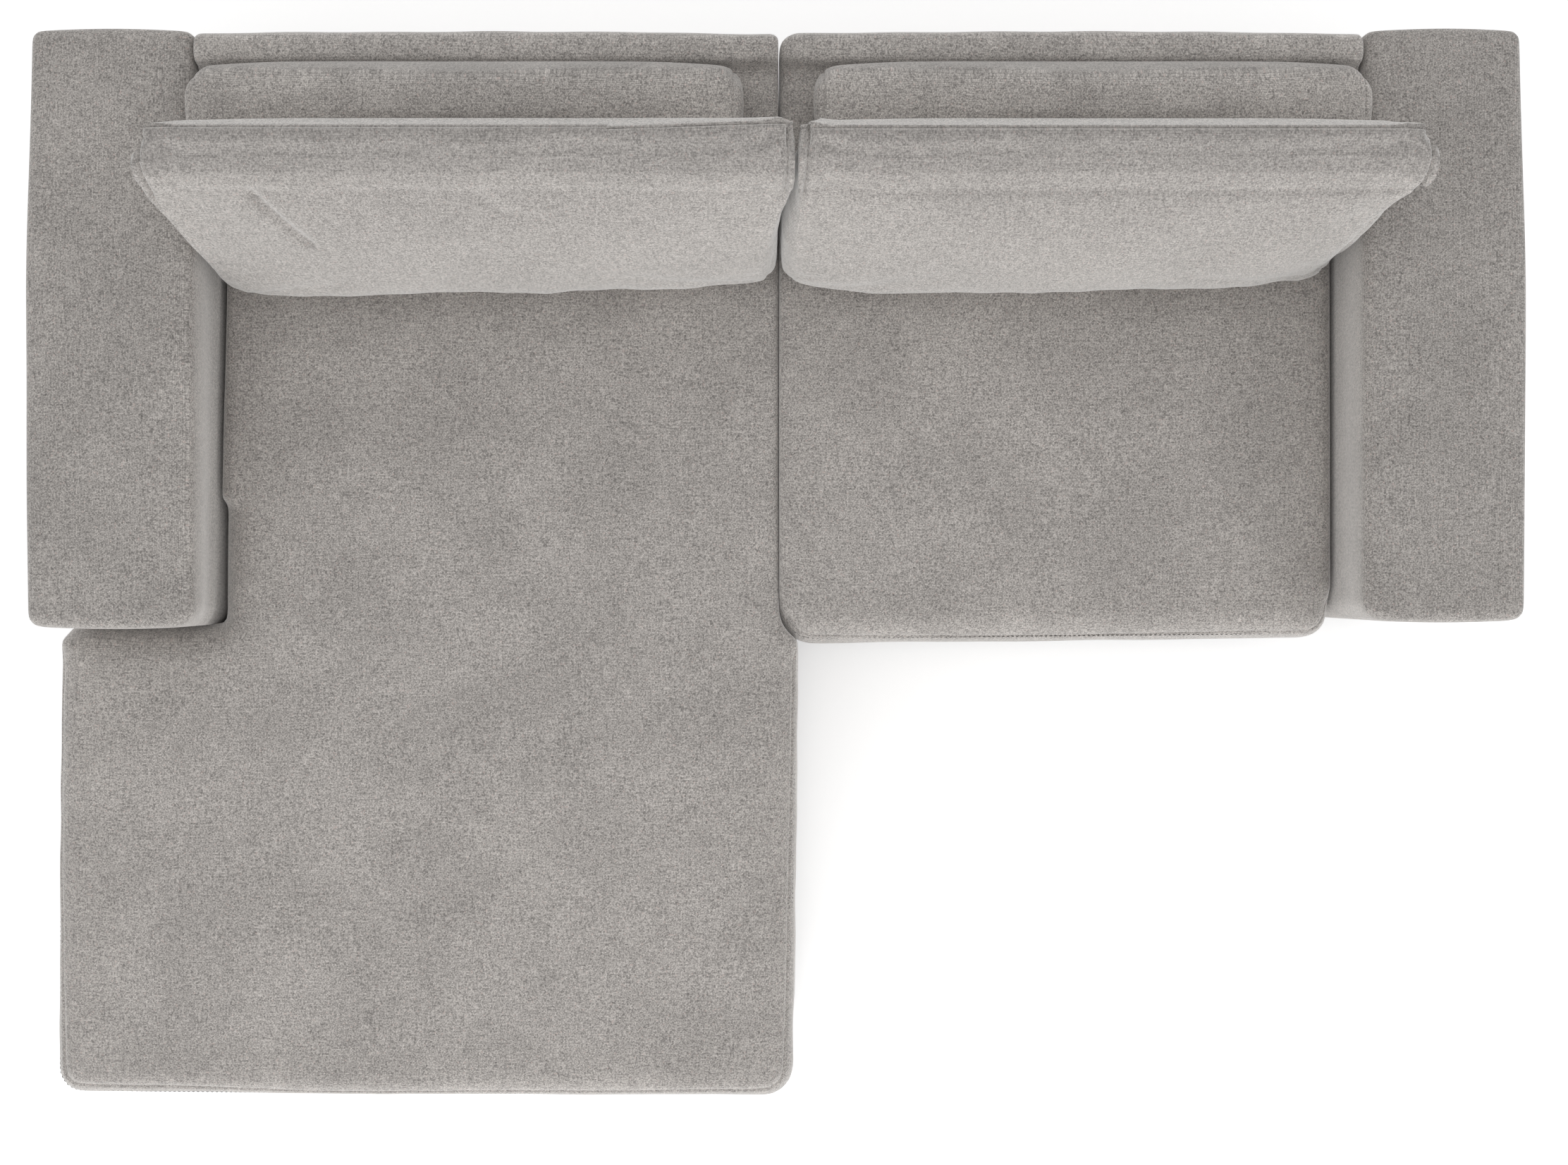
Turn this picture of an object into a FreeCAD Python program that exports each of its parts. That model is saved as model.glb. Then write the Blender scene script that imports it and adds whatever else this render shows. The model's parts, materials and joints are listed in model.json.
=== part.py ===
"""Lounge sofa in two modules: a chaise at the left, a single seat at the right.

Millimetres. +Z is up, the backs are at +Y and the chaise is at -X. The origin is
the middle of the sofa's bounding box, on the floor.
"""
import FreeCAD, Part
import math
import os
from FreeCAD import Vector

os.makedirs("parts", exist_ok=True)

# Driving sizes of the plan
SEAT_WIDTH = 980.0
ARM_WIDTH = 270.0
BACK_THICKNESS = 210.0
SEAT_DEPTH = 823.0
CHAISE_DEPTH = 1626.0
ARM_REACH = 788.0
CHAISE_SIDE_OVERHANG = 28.0
CHAISE_SEAM_OVERHANG = 33.0

# Driving heights above the floor
FOOT_HEIGHT = 50.0
RAIL_HEIGHT = 193.0
SEAT_CROWN_HEIGHT = 450.0
CHAISE_CROWN_HEIGHT = 450.0
ARM_HEIGHT = 620.0
BACK_HEIGHT = 620.0
LEDGE_DROP = 27.5

# Clearances
FIT = 0.3
SLIP = 0.5
PIN_FIT = 0.05
CUT = 1.0

# Upholstery
COVER = 3.0
BASE_STEP = 10.0
SEAT_EDGE_RADIUS = 38.0
SEAT_CROWN_RADIUS = 18000.0
CHAISE_CROWN_RADIUS = 25000.0
SEAT_CROWN_SETBACK = 494.0
CHAISE_CROWN_SETBACK = 862.0
CHAISE_CROWN_SIDE = 608.0
SEAT_CORNER_RADIUS = 60.0
CHAISE_CORNER_RADIUS = 55.0
HIDDEN_CORNER_EXTRA = 7.0
ARM_EDGE_RADIUS = 20.0
ARM_PADDING = 22.0
BACK_EDGE_RADIUS = 22.0
BACK_LIP_RADIUS = 15.0
BACK_ROLL_RADIUS = 9.0
BACK_FOOT_RADIUS = 6.6
DUST_CLOTH = 1.0

# Timber and steel of the frames
BOARD = 25.0
PANEL = 18.0
BLOCK_LEG = 80.0
BLOCK_HEIGHT = 55.0
BLOCK_BOLT_INSET = 24.0
ARM_RAIL_HEIGHT = 70.0
ARM_BOLT_RISE = 42.0
ARM_BOLT_MARGIN = 50.0
CLIP_HEIGHT = 7.0
CLIP_PLATE = 1.5
CLIP_LENGTH = 34.0
CLIP_DEPTH = 20.0
SPRING_WIRE = 3.8
SPRING_BEND = 18.0
SPRING_HALF_WIDTH = 10.0
CHAISE_FRONT_SPRINGS = 6
CHAISE_CORNER_SPRINGS = 2
SEAT_SPRINGS = 5

# Fixed back frame
BACK_FRAME_END_GAP = 6.0
BACK_FRAME_SETBACK = 26.5
BACK_FRAME_REAR_GAP = 33.5
BACK_RAIL_DROP = 32.5
BACK_RAIL_SECTION = 30.0
WEB_WIDTH = 60.0
WEB_THICKNESS = 2.0
WEB_COUNT = 7
ROLL_SETBACK = 55.0
LEFT_BACK_SEAM_RADIUS = 12.0
RIGHT_BACK_SEAM_RADIUS = 40.0

# Headrest
PAD_SEAM_GAP = 65.0
PAD_ARM_GAP = 13.0
PAD_FRONT_SETBACK = 3.0
PAD_REAR_GAP = 7.0
PAD_HEIGHT = 102.0
PAD_NOSE_RADIUS = 35.0
PAD_REAR_TOP_RADIUS = 25.0
PAD_REAR_BOTTOM_RADIUS = 30.0
PAD_CROWN = 4.0
PAD_END_RADIUS = 20.0
PAD_END_STEPS = 5
PAD_BOARD_THICKNESS = 12.0
PAD_BOARD_REAR_GAP = 10.0
PAD_BOARD_END_GAP = 22.0
PAD_BOARD_RISE = 17.0
PAD_BOARD_SETBACK = 20.0

# Headrest hinges
HINGE_END_DISTANCE = 160.0
HINGE_PIN_RADIUS = 4.0
HINGE_PLATE = 4.0
HINGE_LEAF_PLATE = 3.0
HINGE_EYE_RADIUS = 12.0
HINGE_HEAD_RADIUS = 7.0
HINGE_HEAD = 2.7
HINGE_FOOT_LENGTH = 30.0
HINGE_FLANGE_DEPTH = 32.0
HINGE_WEB_HEIGHT = 14.0
HINGE_WEB_ANGLE = 53.0

# Loose back cushions
CUSHION_HEIGHT = 398.0
CUSHION_BACK_GAP = 2.0
CUSHION_FOOT_DEPTH = 196.0
CUSHION_TOP_DEPTH = 40.0
CUSHION_LEAST_FLAT = 4.0
CUSHION_END_GAP = 3.0
CUSHION_END_BOW = 1.5
CUSHION_LEAN_START = 150.0
LEFT_CUSHION_SHIFT = 5.0
RIGHT_CUSHION_SHIFT = 34.0
ZIP_LENGTH = 800.0
ZIP_WIDTH = 10.0
ZIP_THICKNESS = 1.4

# Feet and fasteners
FOOT_SIZE = 70.0
FOOT_TAPER = 8.0
GLIDE_RADIUS = 22.0
GLIDE_HEIGHT = 4.0
BOLT_RADIUS = 4.0
BOLT_REACH = 40.0
BOLT_HEAD_RADIUS = 7.5
BOLT_HEAD_HEIGHT = 5.0
PLATE_LENGTH = 120.0
PLATE_WIDTH = 44.0
PLATE_THICKNESS = 4.0
PLATE_END_DISTANCE = 230.0
SCREW_RADIUS = 2.5
SCREW_REACH = 26.0
SCREW_HEAD_RADIUS = 5.0
SCREW_HEAD_HEIGHT = 2.5

# Places worked out from the sizes above
FULL_WIDTH = 2.0 * (SEAT_WIDTH + ARM_WIDTH) + CHAISE_SIDE_OVERHANG
FULL_DEPTH = CHAISE_DEPTH + BACK_THICKNESS
SEAM_X = CHAISE_SIDE_OVERHANG / 2.0
REAR_Y = FULL_DEPTH / 2.0
BACK_Y = REAR_Y - BACK_THICKNESS
CHAISE_FRONT_Y = -REAR_Y
SEAT_FRONT_Y = BACK_Y - SEAT_DEPTH
ARM_FRONT_Y = BACK_Y - ARM_REACH
CHAISE_LEFT_X = -FULL_WIDTH / 2.0
CHAISE_RIGHT_X = SEAM_X + CHAISE_SEAM_OVERHANG
LEFT_ARM_X = SEAM_X - SEAT_WIDTH
RIGHT_ARM_X = SEAM_X + SEAT_WIDTH
UNDERSIDE = FOOT_HEIGHT
RAIL_BOTTOM = UNDERSIDE + DUST_CLOTH
RAIL_TOP = RAIL_BOTTOM + RAIL_HEIGHT
DECK = RAIL_TOP + CLIP_HEIGHT
FRAME_INSET = BASE_STEP + COVER + FIT
LEDGE_HEIGHT = BACK_HEIGHT - LEDGE_DROP
BACK_RAIL_TOP = LEDGE_HEIGHT - BACK_RAIL_DROP
BACK_FRAME_DEPTH = BACK_THICKNESS - BACK_FRAME_SETBACK - BACK_FRAME_REAR_GAP
PAD_LEFT = SEAM_X + PAD_SEAM_GAP
PAD_RIGHT = RIGHT_ARM_X - PAD_ARM_GAP
PAD_DEPTH = BACK_THICKNESS - ROLL_SETBACK - PAD_FRONT_SETBACK - PAD_REAR_GAP
PAD_BOTTOM = LEDGE_HEIGHT + SLIP
PIVOT_Y = BACK_Y + PAD_FRONT_SETBACK + PAD_NOSE_RADIUS
PIVOT_Z = PAD_BOTTOM + PAD_HEIGHT - PAD_NOSE_RADIUS
PAD_DROP = PIVOT_Z - PAD_BOTTOM
TUCKED_CORNER_RADIUS = SEAT_EDGE_RADIUS + HIDDEN_CORNER_EXTRA
PAD_BOARD_Z = PAD_BOTTOM + PAD_BOARD_RISE
PAD_BOARD_DEPTH = PAD_DEPTH - PAD_NOSE_RADIUS - PAD_BOARD_SETBACK - PAD_BOARD_REAR_GAP
HINGE_XS = (PAD_LEFT + HINGE_END_DISTANCE, PAD_RIGHT - HINGE_END_DISTANCE)
CUSHION_WIDTH = SEAT_WIDTH - 2.0 * CUSHION_END_GAP
CUSHION_SLOPE = CUSHION_FOOT_DEPTH - CUSHION_TOP_DEPTH
SEAT_CROWN_CENTRE = Vector(
    SEAM_X + SEAT_WIDTH / 2.0, BACK_Y - SEAT_CROWN_SETBACK, SEAT_CROWN_HEIGHT - SEAT_CROWN_RADIUS)
CHAISE_CROWN_CENTRE = Vector(
    SEAM_X - CHAISE_CROWN_SIDE, BACK_Y - CHAISE_CROWN_SETBACK, CHAISE_CROWN_HEIGHT - CHAISE_CROWN_RADIUS)


def box(x0, x1, y0, y1, z0, z1):
    """A box between two corners."""
    return Part.makeBox(x1 - x0, y1 - y0, z1 - z0, Vector(x0, y0, z0))


def post(radius, x, y, z0, z1):
    """An upright round bar."""
    return Part.makeCylinder(radius, z1 - z0, Vector(x, y, z0))


def line(a, b):
    """A straight edge."""
    return Part.LineSegment(a, b).toShape()


def arc(a, middle, b):
    """An arc through three points."""
    return Part.Arc(a, middle, b).toShape()


def mirrored(shape):
    """The same shape on the other side of the seam between the modules."""
    return shape.mirror(Vector(SEAM_X, 0.0, 0.0), Vector(1.0, 0.0, 0.0))


def corner_loop(corners, radii):
    """A closed flat loop of straight sides whose corners are rounded."""
    count = len(corners)
    starts = []
    ends = []
    middles = []
    for i in range(count):
        here = corners[i]
        before = (corners[i - 1] - here).normalize()
        after = (corners[(i + 1) % count] - here).normalize()
        half = before.getAngle(after) / 2.0
        reach = radii[i] / math.tan(half)
        bisector = (before + after).normalize()
        centre = here + bisector * (radii[i] / math.sin(half))
        starts.append(here + before * reach)
        ends.append(here + after * reach)
        middles.append(centre - bisector * radii[i])
    edges = []
    for i in range(count):
        if radii[i] > 0.0:
            edges.append(arc(starts[i], middles[i], ends[i]))
        edges.append(line(ends[i], starts[(i + 1) % count]))
    return Part.Wire(edges)


def inset_face(wire, inset):
    """The flat face inside a loop, drawn in by an inset."""
    if inset > 0.0:
        wire = wire.makeOffset2D(-inset)
    return Part.Face(wire)


def slab(wire, inset, z0, z1):
    """A straight-sided block over a flat loop that lies at height zero."""
    block = inset_face(wire, inset).extrude(Vector(0.0, 0.0, z1 - z0))
    block.translate(Vector(0.0, 0.0, z0))
    return block


def ring(wire, outer_inset, inner_inset, z0, z1):
    """An upright wall that follows a flat loop."""
    return slab(wire, outer_inset, z0, z1).cut(slab(wire, inner_inset, z0 - CUT, z1 + CUT))


def right_seat_plan():
    """The right seat's outline seen from above."""
    left = SEAM_X + FIT
    right = RIGHT_ARM_X - FIT
    corners = [
        Vector(left, SEAT_FRONT_Y, 0.0),
        Vector(right, SEAT_FRONT_Y, 0.0),
        Vector(right, BACK_Y - FIT, 0.0),
        Vector(left, BACK_Y - FIT, 0.0)]
    radii = [SEAT_CORNER_RADIUS] + [TUCKED_CORNER_RADIUS] * 3
    return corner_loop(corners, radii)


def chaise_plan():
    """The chaise's outline: in front of its arm at the left, round the right seat's corner."""
    seam = SEAM_X - FIT
    swing = SEAT_CORNER_RADIUS + 2.0 * FIT
    hub = Vector(SEAM_X + FIT + SEAT_CORNER_RADIUS, SEAT_FRONT_Y + SEAT_CORNER_RADIUS, 0.0)
    turn = math.acos((hub.x - CHAISE_RIGHT_X) / swing)
    nose = Vector(CHAISE_RIGHT_X, hub.y - swing * math.sin(turn), 0.0)
    belly = Vector(hub.x - swing * math.cos(turn / 2.0), hub.y - swing * math.sin(turn / 2.0), 0.0)
    heel = Vector(seam, hub.y, 0.0)
    inner = LEFT_ARM_X + FIT
    step = ARM_FRONT_Y - FIT
    corners = [
        Vector(CHAISE_LEFT_X, CHAISE_FRONT_Y, 0.0),
        Vector(CHAISE_RIGHT_X, CHAISE_FRONT_Y, 0.0),
        nose,
        heel,
        Vector(seam, BACK_Y - FIT, 0.0),
        Vector(inner, BACK_Y - FIT, 0.0),
        Vector(inner, step, 0.0),
        Vector(CHAISE_LEFT_X, step, 0.0)]
    r = CHAISE_CORNER_RADIUS
    h = TUCKED_CORNER_RADIUS
    c = corners
    edges = [
        rounded_corner(c[7], c[0], c[1], r),
        line(c[0] + Vector(r, 0.0, 0.0), c[1] - Vector(r, 0.0, 0.0)),
        rounded_corner(c[0], c[1], c[2], r),
        line(c[1] + Vector(0.0, r, 0.0), nose),
        arc(nose, belly, heel),
        line(heel, c[4] - Vector(0.0, h, 0.0)),
        rounded_corner(c[3], c[4], c[5], h),
        line(c[4] - Vector(h, 0.0, 0.0), c[5] + Vector(h, 0.0, 0.0)),
        rounded_corner(c[4], c[5], c[6], h),
        line(c[5] - Vector(0.0, h, 0.0), c[6]),
        line(c[6], c[7] + Vector(h, 0.0, 0.0)),
        rounded_corner(c[6], c[7], c[0], h),
        line(c[7] - Vector(0.0, h, 0.0), c[0] + Vector(0.0, r, 0.0))]
    return Part.Wire(edges)


def rounded_corner(before, here, after, radius):
    """The arc that rounds the corner at one point of a loop."""
    back = (before - here).normalize()
    on = (after - here).normalize()
    half = back.getAngle(on) / 2.0
    reach = radius / math.tan(half)
    bisector = (back + on).normalize()
    middle = here + bisector * (radius / math.sin(half) - radius)
    return arc(here + back * reach, middle, here + on * reach)


def crown_height(centre, radius, x, y):
    """How high a crowned seat stands over one point of the plan."""
    return centre.z + math.sqrt(radius ** 2 - (x - centre.x) ** 2 - (y - centre.y) ** 2)


def crowned_block(wire, inset, z0, centre, radius):
    """A seat block with rolled top edges, crowned by a sphere whose seam and poles are elsewhere."""
    block = slab(wire, inset, z0, centre.z + radius + CUT)
    ball = Part.makeSphere(radius - inset, centre, Vector(-1.0, 0.0, 0.0))
    block = block.common(ball)
    if block.ShapeType != "Solid":
        block = block.Solids[0]
    top = max(block.Faces, key=lambda face: face.CenterOfMass.z)
    rolled = block.makeFillet(SEAT_EDGE_RADIUS - inset, top.Edges)
    return rolled


def seat_upholstery(wire, centre, radius):
    """A seat's cover, open below, and the foam block inside it."""
    outer = crowned_block(wire, 0.0, DECK, centre, radius)
    hollow = crowned_block(wire, COVER, DECK - CUT, centre, radius)
    foam = crowned_block(wire, COVER + FIT, DECK, centre, radius)
    return outer.cut(hollow), foam


def rail_x(x0, x1, y0):
    """A base rail that runs from side to side."""
    return box(x0, x1, y0, y0 + BOARD, RAIL_BOTTOM, RAIL_TOP)


def rail_y(x0, y0, y1):
    """A base rail that runs from front to back."""
    return box(x0, x0 + BOARD, y0, y1, RAIL_BOTTOM, RAIL_TOP)


def corner_block(x, y, turn_x, turn_y):
    """A triangular block glued into a corner of the base frame."""
    a = Vector(x, y, RAIL_BOTTOM)
    b = Vector(x + turn_x * BLOCK_LEG, y, RAIL_BOTTOM)
    c = Vector(x, y + turn_y * BLOCK_LEG, RAIL_BOTTOM)
    face = Part.Face(Part.makePolygon([a, b, c, a]))
    return face.extrude(Vector(0.0, 0.0, BLOCK_HEIGHT))


def block_bolt_spot(x, y, turn_x, turn_y):
    """Where a foot bolt enters a corner block."""
    return (x + turn_x * BLOCK_BOLT_INSET, y + turn_y * BLOCK_BOLT_INSET)


def wave_spring(x, y0, y1):
    """A zigzag of wire from one rail to the other, as one pipe."""
    start = y0 + SPRING_WIRE
    span = y1 - SPRING_WIRE - start
    bends = round(span / (2.0 * SPRING_BEND))
    pitch = span / bends
    bend = pitch / 2.0
    z = RAIL_TOP + CLIP_PLATE + SPRING_WIRE / 2.0
    edges = []
    side = -1.0
    here = Vector(x - SPRING_HALF_WIDTH, start, z)
    for _ in range(bends):
        across = Vector(x - side * SPRING_HALF_WIDTH, here.y, z)
        edges.append(line(here, across))
        tip = Vector(across.x - side * bend, here.y + bend, z)
        here = Vector(across.x, here.y + pitch, z)
        edges.append(arc(across, tip, here))
        side = -side
    edges.append(line(here, Vector(x - side * SPRING_HALF_WIDTH, here.y, z)))
    path = Part.Wire(edges)
    ring_at_start = Part.Circle(edges[0].Vertexes[0].Point, Vector(1.0, 0.0, 0.0), SPRING_WIRE / 2.0)
    return path.makePipeShell([Part.Wire([ring_at_start.toShape()])], True, False)


def spring_clip(x, y0, y1):
    """A folded steel clip over the end of a spring, on top of a rail."""
    x0 = x - CLIP_LENGTH / 2.0
    x1 = x + CLIP_LENGTH / 2.0
    lower = box(x0, x1, y0, y1, RAIL_TOP, RAIL_TOP + CLIP_PLATE)
    upper = box(x0, x1, y0, y1, DECK - CLIP_PLATE, DECK)
    fold = box(x0, x1, y0, y0 + CLIP_PLATE, RAIL_TOP, DECK)
    return lower.fuse(upper).fuse(fold)


def spring_field(x0, x1, y0, y1, count):
    """The springs and clips between two rails that face each other."""
    springs = []
    clips = []
    for i in range(count):
        x = x0 + (x1 - x0) * (i + 0.5) / count
        springs.append(wave_spring(x, y0 - CLIP_DEPTH + CLIP_PLATE, y1 + CLIP_DEPTH - CLIP_PLATE))
        clips.append(spring_clip(x, y0 - CLIP_DEPTH, y0))
        clips.append(rear_clip(x, y1))
    return springs, clips


def rear_clip(x, y):
    """The clip on the rail at the rear end of a spring, turned the other way."""
    clip = spring_clip(x, y, y + CLIP_DEPTH)
    return clip.mirror(Vector(0.0, y + CLIP_DEPTH / 2.0, 0.0), Vector(0.0, 1.0, 0.0))


def back_outline(inset):
    """The fixed back seen from its end: front face, ledge for the headrest, rear roll."""
    front = BACK_Y + inset
    rear = REAR_Y - inset
    low = UNDERSIDE + inset
    ledge = LEDGE_HEIGHT - inset
    top = BACK_HEIGHT - inset
    roll = REAR_Y - ROLL_SETBACK + inset
    radii = [0.0, BACK_LIP_RADIUS - inset, 0.0, BACK_ROLL_RADIUS - inset]
    radii += [BACK_EDGE_RADIUS - inset, BACK_FOOT_RADIUS - inset]
    corners = [
        Vector(0.0, front, low),
        Vector(0.0, front, ledge),
        Vector(0.0, roll, ledge),
        Vector(0.0, roll, top),
        Vector(0.0, rear, top),
        Vector(0.0, rear, low)]
    return corner_loop(corners, radii)


def back_block(inset, seam_radius):
    """The right module's fixed back, drawn in by an inset."""
    start = SEAM_X + FIT + inset
    length = SEAT_WIDTH - 2.0 * FIT - 2.0 * inset
    block = Part.Face(back_outline(inset)).extrude(Vector(length, 0.0, 0.0))
    block.translate(Vector(start, 0.0, 0.0))
    corners = [
        Vector(start, BACK_Y - CUT, 0.0),
        Vector(start + length, BACK_Y - CUT, 0.0),
        Vector(start + length, REAR_Y - inset, 0.0),
        Vector(start, REAR_Y - inset, 0.0)]
    plan = corner_loop(corners, [0.0, 0.0, 0.0, seam_radius - inset])
    return block.common(slab(plan, 0.0, 0.0, BACK_HEIGHT + CUT))


def hinge_leg(x, grow):
    """The fixed leg of a headrest hinge: a foot on the back's top rail and an upright eye."""
    half = HINGE_PLATE / 2.0 + grow
    width = HINGE_EYE_RADIUS + grow
    foot = box(
        x - HINGE_FOOT_LENGTH / 2.0 - grow, x + HINGE_FOOT_LENGTH / 2.0 + grow,
        PIVOT_Y - width, PIVOT_Y + width,
        BACK_RAIL_TOP, BACK_RAIL_TOP + HINGE_PLATE + grow)
    upright = box(x - half, x + half, PIVOT_Y - width, PIVOT_Y + width, BACK_RAIL_TOP, PIVOT_Z)
    eye = Part.makeCylinder(width, 2.0 * half, Vector(x - half, PIVOT_Y, PIVOT_Z), Vector(1.0, 0.0, 0.0))
    return foot.fuse([upright, eye])


def hinge_leaf(x, grow):
    """The moving leg: an eye beside the fixed leg and a flange on the headrest's board."""
    x0 = x + HINGE_PLATE / 2.0 + FIT - grow
    x1 = x + HINGE_PLATE / 2.0 + FIT + HINGE_LEAF_PLATE + grow
    board_top = PAD_BOARD_Z + PAD_BOARD_THICKNESS
    r = HINGE_EYE_RADIUS + grow
    eye = Part.makeCylinder(r, x1 - x0, Vector(x0, PIVOT_Y, PIVOT_Z), Vector(1.0, 0.0, 0.0))
    near = PIVOT_Y + PAD_BOARD_SETBACK
    reach = near + HINGE_FLANGE_DEPTH
    start = math.radians(HINGE_WEB_ANGLE)
    web_points = [
        Vector(x0, PIVOT_Y, PIVOT_Z + r),
        Vector(x0, reach + grow, board_top + HINGE_WEB_HEIGHT + grow),
        Vector(x0, reach + grow, board_top),
        Vector(x0, near - grow, board_top),
        Vector(x0, PIVOT_Y - r * math.cos(start), PIVOT_Z - r * math.sin(start))]
    web = Part.Face(Part.makePolygon(web_points + [web_points[0]])).extrude(Vector(x1 - x0, 0.0, 0.0))
    flange = box(
        x0, x0 + HINGE_FOOT_LENGTH + 2.0 * grow, near - grow, reach + grow,
        board_top, board_top + HINGE_LEAF_PLATE + grow)
    return eye.fuse([web, flange])


def hinge_pin(x):
    """The pin through both legs, with a head at each end."""
    x0 = x - HINGE_PLATE / 2.0 - FIT - HINGE_HEAD
    x1 = x + HINGE_PLATE / 2.0 + FIT + HINGE_LEAF_PLATE + FIT
    along = Vector(1.0, 0.0, 0.0)
    shank = Part.makeCylinder(HINGE_PIN_RADIUS, x1 - x0, Vector(x0, PIVOT_Y, PIVOT_Z), along)
    near = Part.makeCylinder(HINGE_HEAD_RADIUS, HINGE_HEAD, Vector(x0, PIVOT_Y, PIVOT_Z), along)
    far = Part.makeCylinder(HINGE_HEAD_RADIUS, HINGE_HEAD, Vector(x1, PIVOT_Y, PIVOT_Z), along)
    return shank.fuse([near, far])


def pin_hole(x):
    """The round hole that the pin turns in."""
    start = Vector(x - HINGE_FOOT_LENGTH, PIVOT_Y, PIVOT_Z)
    return Part.makeCylinder(
        HINGE_PIN_RADIUS + PIN_FIT, 2.0 * HINGE_FOOT_LENGTH, start, Vector(1.0, 0.0, 0.0))


def pad_outline(x, inset):
    """The headrest seen from its end. Nose and lower front are arcs about the hinge pin."""
    nose = PAD_NOSE_RADIUS - inset
    drop = PAD_DROP - inset
    rear = PAD_DEPTH - PAD_NOSE_RADIUS - inset
    top = PAD_REAR_TOP_RADIUS - inset
    low = PAD_REAR_BOTTOM_RADIUS - inset
    diagonal = math.sqrt(0.5)
    shin = math.sqrt(drop ** 2 - nose ** 2)
    knee = math.atan2(-shin, -nose)
    belly = (knee - math.radians(90.0)) / 2.0
    hub = Vector(x, PIVOT_Y, PIVOT_Z)

    def at(dy, dz):
        return hub + Vector(0.0, dy, dz)

    top_start = at(0.0, nose)
    top_end = at(rear - top, nose)
    rear_high = at(rear, nose - top)
    rear_low = at(rear, low - drop)
    low_end = at(rear - low, -drop)
    low_start = at(0.0, -drop)
    front_low = at(-nose, -shin)
    front_high = at(-nose, 0.0)
    edges = [
        arc(front_high, at(-nose * diagonal, nose * diagonal), top_start),
        arc(top_start, at((rear - top) / 2.0, nose + PAD_CROWN), top_end),
        arc(top_end, at(rear - top + top * diagonal, nose - top + top * diagonal), rear_high),
        line(rear_high, rear_low),
        arc(rear_low, at(rear - low + low * diagonal, low - drop - low * diagonal), low_end),
        line(low_end, low_start),
        arc(low_start, at(drop * math.cos(belly), drop * math.sin(belly)), front_low),
        line(front_low, front_high)]
    return Part.Wire(edges)


def pad_block(inset):
    """The right headrest pad with rounded ends, drawn in by an inset."""
    x0 = PAD_LEFT + inset
    x1 = PAD_RIGHT - inset
    radius = PAD_END_RADIUS - inset
    stations = []
    for i in range(PAD_END_STEPS + 1):
        angle = math.radians(90.0) * i / PAD_END_STEPS
        stations.append((radius * (1.0 - math.cos(angle)), radius * (1.0 - math.sin(angle))))
    wires = []
    for along, shrink in stations:
        wires.append(pad_outline(x0 + along, inset + shrink))
    for along, shrink in reversed(stations):
        wires.append(pad_outline(x1 - along, inset + shrink))
    return Part.makeLoft(wires, True, True)


def hinge_pocket(x, x0, x1):
    """The space in a headrest that the fixed leg passes through as the pad tips up."""
    reach = HINGE_EYE_RADIUS + SLIP
    far = PAD_DROP + PAD_NOSE_RADIUS
    return box(x + x0, x + x1, PIVOT_Y - far, PIVOT_Y + reach, PIVOT_Z - far, PIVOT_Z + reach)


def cushion_stations():
    """Sections up a cushion.

    Each has its share of the height, its share of the front's slope, and in
    millimetres the rear setback, end inset, corner radius and front bow.
    """
    return (
        (0.0, 0.128, 26.0, 24.0, 34.0, 4.0),
        (0.035, 0.038, 10.0, 8.0, 44.0, 8.0),
        (0.1, 0.0, 2.0, 2.0, 50.0, 12.0),
        (0.226, 0.013, 0.0, 0.0, 50.0, 14.0),
        (0.377, 0.103, 0.0, 0.0, 48.0, 14.0),
        (0.578, 0.295, 0.0, -3.0, 44.0, 12.0),
        (0.754, 0.513, 0.0, -6.0, 38.0, 10.0),
        (0.879, 0.692, 2.0, -6.0, 30.0, 8.0),
        (0.955, 0.833, 8.0, -3.0, 22.0, 6.0),
        (0.987, 0.929, 16.0, 10.0, 14.0, 3.0),
        (1.0, 1.0, 24.0, 34.0, 8.0, 1.0))


def cushion_section(x, z, station, inset, shift):
    """One level section through a loose cushion."""
    _, slope, rear_in, end_in, radius, bow = station
    front = BACK_Y - CUSHION_BACK_GAP - CUSHION_FOOT_DEPTH + CUSHION_SLOPE * slope + inset
    rear = BACK_Y - CUSHION_BACK_GAP - rear_in - inset
    half = CUSHION_WIDTH / 2.0 - end_in - inset
    r = min(radius - inset, (rear - front - CUSHION_LEAST_FLAT) / 2.0)
    d = r * (1.0 - math.sqrt(0.5))
    x = x + shift
    left = x - half
    right = x + half
    ends = CUSHION_END_BOW
    edges = [
        arc(Vector(left + r, front, z), Vector(x, front - bow, z), Vector(right - r, front, z)),
        arc(Vector(right - r, front, z), Vector(right - d, front + d, z), Vector(right, front + r, z)),
        arc(Vector(right, front + r, z), Vector(right + ends, (front + rear) / 2.0, z),
            Vector(right, rear - r, z)),
        arc(Vector(right, rear - r, z), Vector(right - d, rear - d, z), Vector(right - r, rear, z)),
        line(Vector(right - r, rear, z), Vector(left + r, rear, z)),
        arc(Vector(left + r, rear, z), Vector(left + d, rear - d, z), Vector(left, rear - r, z)),
        arc(Vector(left, rear - r, z), Vector(left - ends, (front + rear) / 2.0, z),
            Vector(left, front + r, z)),
        arc(Vector(left, front + r, z), Vector(left + d, front + d, z), Vector(left + r, front, z))]
    return Part.Wire(edges)


def cushion_block(x, base, shift, inset):
    """A loose back cushion: upright at the rear, sloping and bowed at the front."""
    wires = []
    for station in cushion_stations():
        z = base + inset + (CUSHION_HEIGHT - 2.0 * inset) * station[0]
        above = max(0.0, CUSHION_HEIGHT * station[0] - CUSHION_LEAN_START)
        lean = shift * above / (CUSHION_HEIGHT - CUSHION_LEAN_START)
        wires.append(cushion_section(x, z, station, inset, lean))
    return Part.makeLoft(wires, True, False)


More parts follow.
